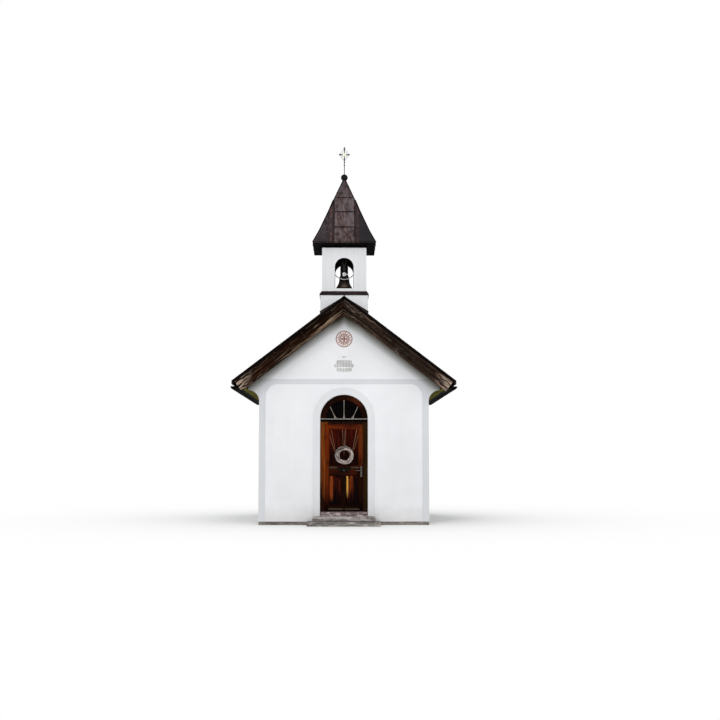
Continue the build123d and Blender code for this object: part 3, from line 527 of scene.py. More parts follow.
def tileFinish(name, tone, joint, side):
    # Square stone flags on the chapel's floor
    finish, coords = startFinish(name, 0.7)
    wanted = {"Vector": coords, "Color1": paint(*tone), "Color2": paint(*shaded(tone, 0.86)),
              "Mortar": paint(*joint), "Mortar Size": 0.006, "Scale": 1.0, "Brick Width": side,
              "Row Height": side}
    flags = addNode("TexBrick", wanted, offset=0.0, squash=1.0)
    mottle = cloud(coords, 9, 5, 0.65)
    base = mixTones(inRange(mottle, 0.4, 0.75, 0, 0.4), flags.outputs["Color"], joint)
    edge = minus(1.0, flags.outputs["Fac"])
    return dress(finish, base, [(edge, 0.8, 0.003), (mottle, 0.3, 0.002)])


def twigFinish(name, deep, light, shade):
    # One chance value per twig in the second flat coordinate
    finish, coords = startFinish(name, 0.8, flat=True)
    chance = split(coords)[1]
    # A share of the twigs take the shade tone: painted shade in the gaps of the wreath
    base = tones(chance, [(0.0, shade), (0.3, shade), (0.5, deep), (0.75, light), (1.0, light)])
    bark = streaks(coords, (60, 9, 1), 3)
    base = mixTones(inRange(bark, 0.5, 0.75, 0, 0.45), base, deep)
    return dress(finish, base, [(bark, 0.5, 0.0008)])


# Mesh building blocks
def finishPiece(name, bm, finish, body, hides=(), smooth=None):
    mesh = bpy.data.meshes.new(name)
    bmesh.ops.recalc_face_normals(bm, faces=bm.faces[:])
    bm.to_mesh(mesh)
    bm.free()
    piece = bpy.data.objects.new(name, mesh)
    bpy.context.scene.collection.objects.link(piece)
    mesh.materials.append(finish)
    if smooth is not None:
        softEdges(piece, smooth)
    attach(piece, body)
    if hides:
        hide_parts(*hides)
    return piece


def softEdges(piece, degrees):
    mesh = piece.data
    mesh.shade_smooth()
    mesh.set_sharp_from_angle(angle=math.radians(degrees))


def arc(radius, steps, start=0.0, span=math.pi):
    # steps + 1 points of a circle about the origin
    angles = [start + span * k / steps for k in range(steps + 1)]
    return [(radius * math.cos(angle), radius * math.sin(angle)) for angle in angles]


def circle(radius, steps):
    return arc(radius, steps, 0.0, 2 * math.pi)[:-1]


def bridge(bm, rings, closed=False, caps=True, around=True):
    # Walls between rings of vertices that follow one another, and caps on the first and the last
    pairs = list(zip(rings, rings[1:])) + ([(rings[-1], rings[0])] if closed else [])
    count = len(rings[0])
    faces = []
    for first, second in pairs:
        for k in range(count if around else count - 1):
            after = (k + 1) % count
            faces.append(bm.faces.new((first[k], first[after], second[after], second[k])))
    if caps and not closed:
        faces += [bm.faces.new(rings[0][::-1]), bm.faces.new(rings[-1])]
    return faces


def layGrain(bm, faces, direction, seed=0.0):
    # Flat coordinates in metres: the first runs along the grain, the second across it
    layer = bm.loops.layers.uv.verify()
    direction = direction.normalized()
    for face in faces:
        if face.normal.length < 0.5:
            face.normal_update()
        normal = face.normal
        endGrain = abs(normal.dot(direction)) > 0.85
        side = (normal.orthogonal() if endGrain else normal.cross(direction)).normalized()
        along = normal.cross(side).normalized() if endGrain else direction
        share = 0.15 if endGrain else 1.0
        for loop in face.loops:
            place = loop.vert.co
            loop[layer].uv = (place.dot(along) * share + seed * 3.7, place.dot(side) + seed * 1.3)


def inOrder(items):
    # Each item once, in an order that is the same on every run
    return list(dict.fromkeys(items))


def addBox(bm, low, high, grain, seed, edge):
    # A board between two corners with its edges taken off
    low, high = Vector(low), Vector(high)
    size = high - low
    made = bmesh.ops.create_cube(bm, size=1.0)
    for vert in made["verts"]:
        vert.co = Vector((vert.co.x * size.x, vert.co.y * size.y, vert.co.z * size.z)) + (low + high) / 2
    faces = inOrder(face for vert in made["verts"] for face in vert.link_faces)
    edges = inOrder(side for face in faces for side in face.edges)
    cut = bmesh.ops.bevel(bm, geom=edges, offset=edge, segments=2, affect="EDGES", profile=0.6)
    kept = [face for face in faces if face.is_valid]
    faces = inOrder(kept + [face for vert in cut["verts"] for face in vert.link_faces])
    bm.normal_update()
    layGrain(bm, faces, {"x": rightward, "y": ahead, "z": up}[grain], seed)


def addTube(bm, points, radius, sides=8, seed=0.0, closed=False):
    # A round bar through the points; its flat coordinates run along it
    layer = bm.loops.layers.uv.verify()
    count = len(points)
    radii = radius if isinstance(radius, list) else [radius] * count
    path = points + points[:1] if closed else points
    reach = [0.0]
    for first, second in zip(path, path[1:]):
        reach.append(reach[-1] + (second - first).length)
    sideways = None
    rings = []
    for i, point in enumerate(points):
        before = points[i - 1] if i or closed else point
        after = points[(i + 1) % count] if i < count - 1 or closed else point
        heading = (after - before).normalized()
        if sideways is None:
            sideways = heading.orthogonal().normalized()
        sideways = (sideways - heading * sideways.dot(heading)).normalized()
        other = heading.cross(sideways)
        rings.append([bm.verts.new(point + sideways * x + other * y) for x, y in circle(radii[i], sides)])
    faces = bridge(bm, rings, closed)
    for i, (start, end) in enumerate(zip(reach, reach[1:])):
        for face in faces[i * sides:(i + 1) * sides]:
            for loop, place in zip(face.loops, (start, start, end, end)):
                loop[layer].uv = (place, seed)


def addSweep(bm, outline, start, end, acrossAxis, outAxis):
    # A straight run of a flat outline, given as (across, out) pairs about start and end
    rings = []
    for point in (start, end):
        rings.append([bm.verts.new(point + acrossAxis * a + outAxis * b) for a, b in outline])
    bridge(bm, rings)


def addRun(bm, outline, origin, start, end):
    # An upright outline swept lengthways between two distances from the origin
    addSweep(bm, outline, origin + ahead * start, origin + ahead * end, rightward, up)


def addLathe(bm, profile, centre, sides, axis="z"):
    # Turns (radius, height) pairs about an upright or lengthways axis through centre
    rings = []
    for radius, height in profile:
        spots = [(x, y, height) if axis == "z" else (x, -height, y) for x, y in circle(radius, sides)]
        rings.append([bm.verts.new(Vector(centre) + Vector(spot)) for spot in spots])
    bridge(bm, rings)


def downSlope(side):
    return Vector((side * pitchCos, 0, -pitchSin))


def offSlope(side):
    return Vector((side * pitchSin, 0, pitchCos))


def roofPoint(side, run, depth, y):
    # run metres down the slope from the ridge line, depth metres under its surface
    return Vector((0, y, chapel["ridge"])) + downSlope(side) * run - offSlope(side) * depth


# Finishes in use
looks = {
    "render": (235, 236, 238),
    "trim": (213, 215, 218),
    "sheetDeep": (38, 29, 30),
    "sheetLight": (76, 60, 61),
    "sheetWorn": (104, 88, 86),
}
sheetTones = (looks["sheetDeep"], looks["sheetLight"], looks["sheetWorn"])
whiteRender = plasterFinish("white render", looks["render"])
paleRender = gableFinish("pale smooth render", looks["trim"])
gableRender = gableFinish("gable render", looks["render"])
surroundRender = plasterFinish("door surround render", (224, 225, 227), 0.5, 0.001)
# Cove: white render, olive below as painted shade with a painted green reflection
coveRender = coveFinish("cove render, olive painted shade below", (209, 211, 212), (100, 95, 8))
baseRender = plasterFinish("belfry base render", (236, 238, 239), 0.35)
chamberRender = chamberFinish("bell chamber render, painted shade inside", (224, 225, 227), (18, 15, 13), 0.505)
# Two copies of the same boards: painted sunlight on the left slope, painted shade on the right
vergePaintedSunWood = vergeFinish(
    "verge boards, painted sunlight", ((6, 3, 1), (36, 21, 12), (60, 39, 26), (104, 78, 58), (72, 33, 16)),
    (196, 166, 138), 0.9,
    ((0.05, 140), (0.115, 128), (0.135, 185), (0.165, 190), (0.195, 135), (0.21, 150), (0.225, 215),
     (0.25, 172), (0.29, 160), (0.33, 178)),
)
vergePaintedShadeWood = vergeFinish(
    "verge boards, painted shade", ((7, 5, 3), (38, 27, 21), (62, 49, 40), (104, 88, 76), (58, 36, 26)),
    (150, 134, 120), 0.7,
    ((0.05, 185), (0.066, 255), (0.095, 225), (0.114, 160), (0.136, 235), (0.175, 255), (0.2, 138),
     (0.225, 168), (0.27, 245), (0.33, 255)),
)
# The last tone is the olive painted shade of the soffit's inner strip
eaveWood = eaveFinish("eave boards", (3, 2, 1), (11, 8, 5), (26, 20, 14), 2.235, (104, 99, 14))
timberTones = ((40, 27, 18), (78, 56, 38), (112, 86, 60))
beamWood = timberFinish("purlin and plates", (0, 0, math.radians(90)), *timberTones)
rafterLeftWood = timberFinish("left rafters", (0, chapel["pitch"], 0), *timberTones)
rafterRightWood = timberFinish("right rafters", (0, -chapel["pitch"], 0), *timberTones)
windowWood = timberFinish("window wood", (0, math.radians(90), 0), (30, 18, 12), (66, 42, 28), (98, 68, 46))
darkSheet = sheetFinish("oxidised sheet", *sheetTones)
ledgeSheet = sheetFinish("belfry ledge sheet", (26, 18, 20), (56, 43, 46), (84, 70, 72), 0.7, 0.1, 0.12)
gutterSheet = sheetFinish("gutter sheet", (3, 2, 1), (12, 9, 7), (24, 19, 16), 0.85, 0.0, 0.04)
seamSheet = sheetFinish("seam sheet", (38, 26, 25), (92, 70, 66), (128, 108, 102), 0.7, 0.1, 0.15)
weltSheet = sheetFinish("welt sheet", (22, 15, 15), (50, 38, 37), (76, 62, 60), 0.8, 0.0, 0.08)
edgeSheet = sheetFinish("edge sheet", (4, 2, 2), (18, 12, 10), (34, 27, 24), 0.85, 0.0, 0.04)
# Near black: painted shade under the spire's eave
soffitShadeSheet = sheetFinish("soffit sheet, painted shade", (3, 2, 1), (12, 9, 7), (24, 19, 16), 0.9, 0.0, 0.05)
spireSheet = panelFinish(
    "spire sheet",
    {"width": 0.49, "rise": 0.39, "foot": 6.73, "eave": 6.343, "middle": chapel["belfryMiddle"],
     "outer": (38, 36, 41), "wash": (112, 102, 106), "rust": (98, 66, 60), "welts": (6.73, 7.12)},
    (46, 34, 34), (84, 68, 67), (118, 100, 98),
)
roofSheet = roofFinish("roof sheet on boards", sheetTones, ((38, 26, 18), (74, 55, 39), (104, 82, 60)), 0.16)
stepStone = stoneFinish("upper step stone", (88, 82, 80), (154, 148, 146), (208, 203, 199), (32, 28, 27))
lowStone = stoneFinish("lower step stone", (56, 52, 49), (122, 116, 112), (190, 184, 178), (16, 14, 13))
sillStone = stoneFinish("threshold stone", (54, 42, 41), (134, 118, 116), (228, 212, 210), (24, 17, 17), 1.8)
plinthStone = stoneFinish("plinth stone", (78, 71, 65), (114, 107, 100), (150, 143, 135), (56, 50, 46))
floorStone = tileFinish("stone flags", (150, 140, 128), (92, 84, 76), 0.33)
paneGlass = glassFinish("old window glass", (74, 82, 82))
fanGlass = darkPaneFinish("fanlight glass", (1, 0, 0), (6, 3, 2))
crossMiddle = (0.0, chapel["belfryMiddle"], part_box("finial_cross")[1].z - 0.181)
crossMetal = crossFinish("dark iron, gilt at the middle", (58, 66, 76), (244, 236, 206), crossMiddle)
wireMetal = metalFinish("weathered wire", (120, 122, 112), (176, 176, 160), 0.5, 0.2, 30)
ballMetal = sheetFinish("dark ball", (8, 8, 9), (26, 25, 26), (44, 44, 46), 0.6, 0.1, 0.15)
bellBronze = bellFinish("bell bronze, painted highlight", (8, 6, 5), (34, 25, 18), (150, 128, 108), 5.3954)
gearSteel = sheetFinish("painted gear steel", (6, 5, 4), (20, 16, 12), (34, 28, 22), 0.85, 0.0, 0.05)
wheelMiddle = (0.0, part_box("bell_wheel")[0].y, 5.8204)
wheelSteel = wheelFinish("wheel steel, painted rim highlight", (14, 14, 16), (196, 198, 202), wheelMiddle, 0.2425)
handleSteel = metalFinish("worn handle steel", (58, 56, 52), (106, 104, 99), 0.45, 0.6, 30)
bossSteel = metalFinish("bright boss", (226, 224, 218), (252, 250, 246), 0.5, 0.0, 30)
hingeSteel = metalFinish("hinge steel", (70, 64, 60), (128, 122, 116), 0.45, 1.0, 30)
wreathTwigs = twigFinish("pale twigs", (128, 104, 92), (254, 240, 230), (26, 16, 12))


def coverNode(name, finish):
    nodes[name].data.materials.clear()
    nodes[name].data.materials.append(finish)


plainNodes = (
    (plinthStone, "plinth"),
    (floorStone, "floor_slab"),
    (paleRender, "facade_frame"),
    (surroundRender, "door_surround"),
    (whiteRender, "front_wall_left front_wall_right left_wall right_wall"),
    (gableRender, "front_gable rear_wall"),
    (coveRender, "eave_cornices"),
    (baseRender, "belfry_base"),
    (chamberRender, "belfry_front_wall belfry_rear_wall belfry_left_wall belfry_right_wall"),
    (beamWood, "ridge_purlin wall_plates"),
    (rafterLeftWood, "rafters_left"),
    (rafterRightWood, "rafters_right"),
    (roofSheet, "roof_left roof_right"),
    (eaveWood, "eave_boards"),
    (ledgeSheet, "belfry_flashing belfry_ledge"),
    (spireSheet, "spire_roof"),
    (soffitShadeSheet, "spire_soffit"),
    (darkSheet, "window_sills"),
    (windowWood, "window_frames"),
    (paneGlass, "window_glass"),
    (fanGlass, "fanlight_glass"),
    (ballMetal, "finial_ball"),
    (crossMetal, "finial_cross"),
    (gearSteel, "bell_hangers bell_headstock"),
    (wheelSteel, "bell_wheel"),
    (bellBronze, "bell_clapper"),
    (handleSteel, "door_handle"),
    (hingeSteel, "door_hinges hinge_pins"),
)
for finish, names in plainNodes:
    for name in names.split():
        coverNode(name, finish)
for name in ("finial_ball", "eave_cornices", "bell_clapper"):
    softEdges(nodes[name], 40)
print("finishes: %d" % len(bpy.data.materials))


# Verge boards
verge = {
    "thickness": 0.028,
    "upper": (0.054, 0.180),     # depths under the roof's surface
    "lower": (0.156, 0.316),
    "endX": 2.390,
    "cells": 150,
    "sway": 0.0035,
    "edge": 0.004,
    "rough": 0.0011,
    "nailFrom": 0.42,
    "nailTo": 2.9,
    "nailEvery": 0.82,
    "nailShares": (0.3, 0.74),
}


def addVergeBoard(bm, side, depths, outerFace, inward, seed):
    # One board from the ridge to its square-cut foot, with a hand-planed lower edge
    top, bottom = depths
    footRun = (verge["endX"] + verge["upper"][0] * pitchSin) / pitchCos
    edge, thick, cells = verge["edge"], verge["thickness"], verge["cells"]
    outline = [(top, edge), (top + edge, 0), ((top + bottom) / 2, 0), (bottom - 2.5 * edge, 0),
               (bottom, 2 * edge), (bottom, thick - edge), (bottom - edge, thick), (top + edge, thick),
               (top, thick - edge)]
    rings = []
    for i in range(cells + 1):
        ring = []
        for depth, back in outline:
            startRun = depth * slope
            run = startRun + (footRun - startRun) * i / cells
            sway = noise.noise(Vector((run * 2.3, seed * 7.1, depth * 3))) * verge["sway"]
            rough = noise.noise(Vector((run * 4, seed * 3.3, depth * 40))) * verge["rough"]
            low = (depth - top) / (bottom - top)
            if low > 0.5:
                depth += rough - low * ((0.0015 if 0 < i < cells else 0) + abs(sway))
            place = roofPoint(side, run, depth, 0)
            place.y = outerFace + inward * (back + (abs(rough) + 0.0006 if back < thick / 2 else 0))
            ring.append(bm.verts.new(place))
        rings.append(ring)
    faces = bridge(bm, rings)
    bm.normal_update()
    layGrain(bm, faces, downSlope(side), seed)


def addStud(bm, place, outward, radius=0.006, height=0.003):
    # A nail head: a low dome on a surface
    first = outward.orthogonal().normalized()
    second = outward.cross(first)
    rings = []
    for share, lift in ((1.0, 0.0), (0.85, 0.7), (0.4, 1.0)):
        spots = [first * x + second * y + outward * height * lift for x, y in circle(radius * share, 8)]
        rings.append([bm.verts.new(place + spot) for spot in spots])
    bridge(bm, rings, caps=False)
    bm.faces.new(rings[-1])


def makeVerges():
    studs = bmesh.new()
    seed = 1.0
    ends = (("front", chapel["roofFront"], 1), ("rear", chapel["roofRear"] - 0.003, -1))
    for end, outerFace, inward in ends:
        innerFace = outerFace + inward * verge["thickness"]
        for side, hand, finish in ((-1, "left", vergePaintedSunWood), (1, "right", vergePaintedShadeWood)):
            bm = bmesh.new()
            for depths, face, more in ((verge["upper"], outerFace, 0.0), (verge["lower"], innerFace, 0.37)):
                addVergeBoard(bm, side, depths, face, inward, seed + more)
                run = verge["nailFrom"]
                while run < verge["nailTo"]:
                    for share in verge["nailShares"]:
                        depth = depths[0] + (depths[1] - depths[0]) * share
                        addStud(studs, roofPoint(side, run, depth, face + inward * 0.0006), ahead * -inward)
                    run += verge["nailEvery"]
            node = "%s_verge_%s" % (end, hand)
            finishPiece("%s_boards" % node, bm, finish, "building", [node], 35)
            seed += 1.0
    finishPiece("verge_nails", studs, hingeSteel, "building", smooth=180)


makeVerges()
print("verge boards")


# Roof sheet: seams, edge trims, ridge roll
roofing = {
    "seamEvery": 0.56,
    "seamHeight": 0.022,
    "seamWidth": 0.011,
    "capReach": 0.14,
    "trimWidth": 0.07,
    "trimDrop": 0.05,
    "sheet": 0.0025,
    "ridgeLap": 1.25,
    "endGap": 0.1,
    "crossFrom": 0.5,
    "crossShift": 0.6,
    "crossEvery": 1.35,
    "ridgeStep": 0.002,
    "ridgeOverlap": 0.03,
}
seamOutline = [(-0.5, 0), (-0.5, 0.72), (-0.32, 0.95), (0, 1.0), (0.32, 0.95), (0.5, 0.72), (0.5, 0)]
crossOutline = [(-0.011, 0), (-0.009, 0.0035), (0.006, 0.005), (0.011, 0)]


def addSeam(bm, start, end, across, outward, width, height):
    # A standing seam: an upright fold with a rounded head
    outline = [(a * width, b * height) for a, b in seamOutline]
    addSweep(bm, outline, start, end, across, outward)


def makeRoofSheets():
    front, rear = chapel["roofFront"], chapel["roofRear"]
    footRun = chapel["eaveHalf"] / pitchCos
    length = rear - front - 2 * roofing["endGap"]
    count = int(length / roofing["seamEvery"])
    gap = length / count
    trims = bmesh.new()
    thin, width, drop = roofing["sheet"], roofing["trimWidth"], roofing["trimDrop"]
    fold = [(width, 0), (width, thin), (-thin, thin), (-thin, -drop), (-thin - 0.008, -drop - 0.006),
            (-thin - 0.006, -drop - 0.009), (0, -drop - 0.001), (0, 0)]
    flat = [(width, 0), (width, thin), (0, thin), (0, 0)]      # the roof's end is outermost at the rear
    eave = [(-0.12, 0.0), (-0.12, thin), (0.0, thin), (0.004, -0.006), (0.0, -0.012)]
    for side, hand in ((-1, "left"), (1, "right")):
        down, outward = downSlope(side), offSlope(side)
        bm = bmesh.new()
        for i in range(count + 1):
            y = front + roofing["endGap"] + gap * i
            top = roofing["capReach"] / pitchCos - 0.012
            if flashing[0].y - 0.02 < y < flashing[1].y + 0.02:
                top = flashing[1].x / pitchCos
            addSeam(bm, roofPoint(side, top, 0, y), roofPoint(side, footRun - 0.004, 0, y), ahead, outward,
                    roofing["seamWidth"], roofing["seamHeight"])
            run = top + roofing["crossFrom"] + (roofing["crossShift"] if i % 2 else 0)
            while run < footRun - 0.3 and i < count:       # flat cross welts between two seams
                start, end = (roofPoint(side, run, 0, place) for place in (y + 0.006, y + gap - 0.006))
                addSweep(bm, crossOutline, start, end, down, outward)
                run += roofing["crossEvery"]
        finishPiece("roof_seams_%s" % hand, bm, darkSheet, "building", smooth=35)
        for face, turn, outline in ((front, 1, fold), (rear, -1, flat)):       # trims along the verges
            start, end = (roofPoint(side, run, 0, face) for run in (0.004, footRun))
            addSweep(trims, [(turn * a, b) for a, b in outline], start, end, ahead, outward)
        start, end = (roofPoint(side, footRun - 0.005, 0, y) for y in (front, rear))
        addSweep(trims, eave, start, end, down, outward)
    finishPiece("roof_edge_trims", trims, edgeSheet, "building", smooth=35)


def makeRidge():
    bm = bmesh.new()
    reach = roofing["capReach"]
    for start, end in ((chapel["roofFront"], flashing[0].y), (flashing[1].y, chapel["roofRear"])):
        pieces = max(1, round((end - start) / roofing["ridgeLap"]))
        step = (end - start) / pieces
        for i in range(pieces):
            lift = roofing["ridgeStep"] if i % 2 else 0.0
            top = []
            for a in (-1, -0.9, -0.35, -0.12, 0, 0.12, 0.35, 0.9, 1):
                rise = 0.011 * math.exp(-(a / 0.12) ** 2)
                hem = 0.004 if abs(a) == 1 else 0
                top.append((a * reach, 0.0075 + lift + rise - abs(a) * reach * slope + hem))
            outline = top + [(a, b - 0.004) for a, b in reversed(top)]
            low = start + step * i - (roofing["ridgeOverlap"] if i else 0)
            addRun(bm, outline, up * chapel["ridge"], low, start + step * (i + 1))
    finishPiece("ridge_roll", bm, darkSheet, "building", ["ridge_cap"], 50)


makeRoofSheets()
makeRidge()
print("roof sheets")


# Gutters
gutter = {"radius": 0.075, "sheet": 0.003, "bead": 0.008, "steps": 24, "lapFrom": 1.6, "lapEvery": 1.9,
          "lapWidth": 0.035, "hookFrom": 0.18, "hookEvery": 0.72, "hookWidth": 0.03}


def trough(side, radius, steps):
    # The lower half of a circle, from the outer edge to the inner one
    return [(side * x, -z) for x, z in arc(radius, steps)]


def scaled(points, share):
    return [(a * share, b * share) for a, b in points]


def makeGutters():
    low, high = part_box("gutters")
    front, rear = low.y, high.y
    bm = bmesh.new()
    hooks = bmesh.new()
    outer, steps = gutter["radius"], gutter["steps"]
    for side in (-1, 1):
        outline = trough(side, outer, steps) + trough(side, outer - gutter["sheet"], steps)[::-1]
        origin = Vector((side * (high.x - outer), 0, high.z))
        addRun(bm, outline, origin, front, rear)
        bead = origin + Vector((side * (outer - gutter["bead"]), 0, -gutter["bead"]))
        addTube(bm, [bead + ahead * front, bead + ahead * rear], gutter["bead"], 12)
        stop = origin + ahead * (front + 0.001)
        bm.faces.new([bm.verts.new(stop + Vector((a, 0, b))) for a, b in outline[:steps + 1]])
        joint = front + gutter["lapFrom"]
        while joint < rear - 0.4:                          # soldered laps
            lap = scaled(outline[:steps + 1], 0.98) + scaled(outline[steps + 1:], 0.9)
            addRun(bm, lap, origin, joint, joint + gutter["lapWidth"])
            joint += gutter["lapEvery"]
        # Each hook is flat, goes under the gutter and up to its front bead; a strap crosses over it
        hook = trough(side, outer - 0.001, 16)
        hook += scaled(hook[::-1], 0.93)
        strap = [(-outer + 0.002, -0.002), (outer - 0.004, -0.002), (outer - 0.004, -0.005),
                 (-outer + 0.002, -0.005)]
        place = front + gutter["hookFrom"]
        while place < rear - 0.1:
            addRun(hooks, hook, origin, place, place + gutter["hookWidth"])
            addRun(hooks, [(side * a, b) for a, b in strap], origin, place + 0.004, place + 0.022)
            place += gutter["hookEvery"]
    finishPiece("gutter_sheets", bm, gutterSheet, "building", ["gutters"], 40)
    finishPiece("gutter_hooks", hooks, gutterSheet, "building", smooth=40)


makeGutters()
print("gutters")


# Spire: seams, hips, drip edge
spire = {
    "rim": 0.020,
    "flare": 0.311,
    "eaveHalf": 0.715,
    "kinkHalf": 0.563,
    "tipHalf": 0.030,
    "seams": (-0.235, 0.262),
    "seamX": 0.245,
    "seamWidth": 0.012,
    "seamHeight": 0.024,
    "crossHeights": (6.73, 7.12),
    "capHeight": 7.49,
    "hipRadius": 0.013,
    "skirtDrip": 0.075,
    "skirtSeam": (-0.19, 0.19),
    "flashingHem": 0.176,
    "wire": {"arm": 0.108, "rise": 0.145, "bow": 0.012, "radius": 0.0045},
}


def spireHeights():
    # Eave, kink and tip
    low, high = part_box("spire_roof")
    return low.z + spire["rim"], low.z + spire["rim"] + spire["flare"], high.z


def spireHalf(height):
    # Half the spire's width at this height, flared under the kink
    eave, kink, tip = spireHeights()
    if height <= kink:
        return spire["eaveHalf"] - (spire["eaveHalf"] - spire["kinkHalf"]) * (height - eave) / (kink - eave)
    return spire["kinkHalf"] - (spire["kinkHalf"] - spire["tipHalf"]) * (height - kink) / (tip - kink)


def quarterTurn(quarter):
    # Turns a place on the belfry's front to the side of this number
    spin = Matrix.Rotation(math.pi / 2 * quarter, 4, "Z")
    return lambda x, y, z: spin @ Vector((x, y, z)) + Vector((0, chapel["belfryMiddle"], 0))


def squareTo(start, end, across, away):
    # The direction square to a surface that rises from start to end, on the side of away
    outward = (end - start).normalized().cross(across).normalized()
    return -outward if outward.dot(away) < 0 else outward


def makeSpireSeams():
    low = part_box("spire_roof")[0]
    eave, kink, tip = spireHeights()
    seamSheets, hips, welts = bmesh.new(), bmesh.new(), bmesh.new()
    welt = [(-0.012, 0), (-0.010, 0.005), (0.006, 0.009), (0.012, 0)]
    for quarter in range(4):
        turned = quarterTurn(quarter)
        across = turned(1, 0, 0) - turned(0, 0, 0)
        away = turned(0, -1, 0) - turned(0, 0, 0)

        def onFace(x, height):
            return turned(x, -spireHalf(height), height)

        seams = spire["seams"] if quarter == 0 else (-spire["seamX"], spire["seamX"])
        for x in seams:
            climb = (spire["kinkHalf"] - abs(x)) / (spire["kinkHalf"] - spire["tipHalf"])
            for low0, high0 in ((eave, kink), (kink, kink + climb * (tip - kink))):
                start, end = onFace(x, low0), onFace(x, high0)
                outward = squareTo(start, end, across, away)
                addSeam(seamSheets, start, end, across, outward, spire["seamWidth"], spire["seamHeight"])
        start, end = onFace(0, kink), onFace(0, tip)
        reach = spireHalf(spire["capHeight"]) - 0.01
        runs = [(height, *seams) for height in spire["crossHeights"]] + [(spire["capHeight"], -reach, reach)]
        for height, left, right in runs:
            addSweep(welts, welt, onFace(left, height), onFace(right, height), (end - start).normalized(),
                     squareTo(start, end, across, away))
        for height, upper in ((eave, kink), (kink, tip)):
            ends = [turned(-spireHalf(z), -spireHalf(z), z) for z in (height, upper)]
            addTube(hips, ends, spire["hipRadius"], 10)
        corner = spireHalf(eave) - 0.004
        addTube(hips, [turned(x, -corner, low.z - 0.004) for x in (-corner, corner)], 0.007)
    finishPiece("spire_seams", seamSheets, seamSheet, "building", smooth=35)
    finishPiece("spire_hips", hips, edgeSheet, "building", smooth=50)
    finishPiece("spire_welts", welts, weltSheet, "building", smooth=35)


def makeBelfryTrims():
    # Folded corners of the skirt under the bell chamber, its drip bead and the flashing's hems
    low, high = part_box("belfry_ledge")
    skirt, chamber = high.x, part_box("belfry_front_wall")[1].x
    drip = high.z - spire["skirtDrip"]
    bm = bmesh.new()
    for quarter in range(4):
        turned = quarterTurn(quarter)
        across = turned(1, 0, 0) - turned(0, 0, 0)
        addTube(bm, [turned(-skirt, -skirt, drip), turned(-chamber, -chamber, high.z)], 0.006)
        addTube(bm, [turned(x, -skirt + 0.003, low.z) for x in (-skirt + 0.003, skirt - 0.003)], 0.005)
        for x in spire["skirtSeam"]:
            start, end = turned(x, -skirt, drip), turned(x, -chamber, high.z)
            addSeam(bm, start, end, across, squareTo(start, end, across, up), 0.009, 0.012)
    front, rear = flashing[0].y, flashing[1].y
    hem = flashing[0].z + spire["flashingHem"]
    corners = [Vector((side * flashing[1].x, front, hem)) for side in (-1, 1)]
    for y in (front, rear):
        for corner in corners:
            addTube(bm, [Vector((corner.x, y, corner.z)), Vector((0, y, flashing[1].z))], 0.005)
    for corner in corners:
        addTube(bm, [corner, corner + ahead * (rear - front)], 0.005)
    finishPiece("belfry_folds", bm, ledgeSheet, "building", smooth=50)


def makeCrossWire():
    # A thin diamond of wire from arm to arm
    bm = bmesh.new()
    centre, wire = Vector(crossMiddle), spire["wire"]
    for sideways, lift in ((-1, 1), (1, 1), (1, -1), (-1, -1)):
        first = centre + rightward * sideways * wire["arm"]
        second = centre + up * lift * wire["rise"]
        middle = (first + second) / 2 + Vector((sideways, 0, lift)).normalized() * wire["bow"]
        addTube(bm, [first, middle, second], wire["radius"])
    finishPiece("cross_wire", bm, wireMetal, "building", smooth=60)


makeSpireSeams()
makeBelfryTrims()
makeCrossWire()
print("spire and belfry trims")


# Bell, its strap and boss
bell = {
    "profile": [
        (0.0, 0.0), (0.06, 0.0), (0.076, -0.002), (0.092, -0.010), (0.102, -0.022),
        (0.1065, -0.036), (0.1085, -0.046), (0.1115, -0.050), (0.1105, -0.054), (0.110, -0.060),
        (0.1130, -0.064), (0.1125, -0.068), (0.1135, -0.085), (0.117, -0.115), (0.1215, -0.145),
        (0.1265, -0.172), (0.1335, -0.198), (0.1375, -0.206), (0.1405, -0.209), (0.141, -0.214),
        (0.146, -0.222), (0.157, -0.243), (0.1695, -0.264), (0.173, -0.268), (0.1775, -0.276),
        (0.1855, -0.290), (0.190, -0.2985), (0.188, -0.3), (0.17, -0.3), (0.162, -0.293),
        (0.141, -0.255), (0.126, -0.212), (0.114, -0.165), (0.105, -0.115), (0.099, -0.07),
        (0.093, -0.038), (0.078, -0.014), (0.058, -0.012), (0.0, -0.012),
    ],
    "clampHeight": 5.680,
    "clampRadius": 0.043,
    "straps": (-0.12, 0.0, 0.12),
    "strapHalf": 0.02,
    "strapThick": 0.005,
    "strapFoot": 0.298,
}


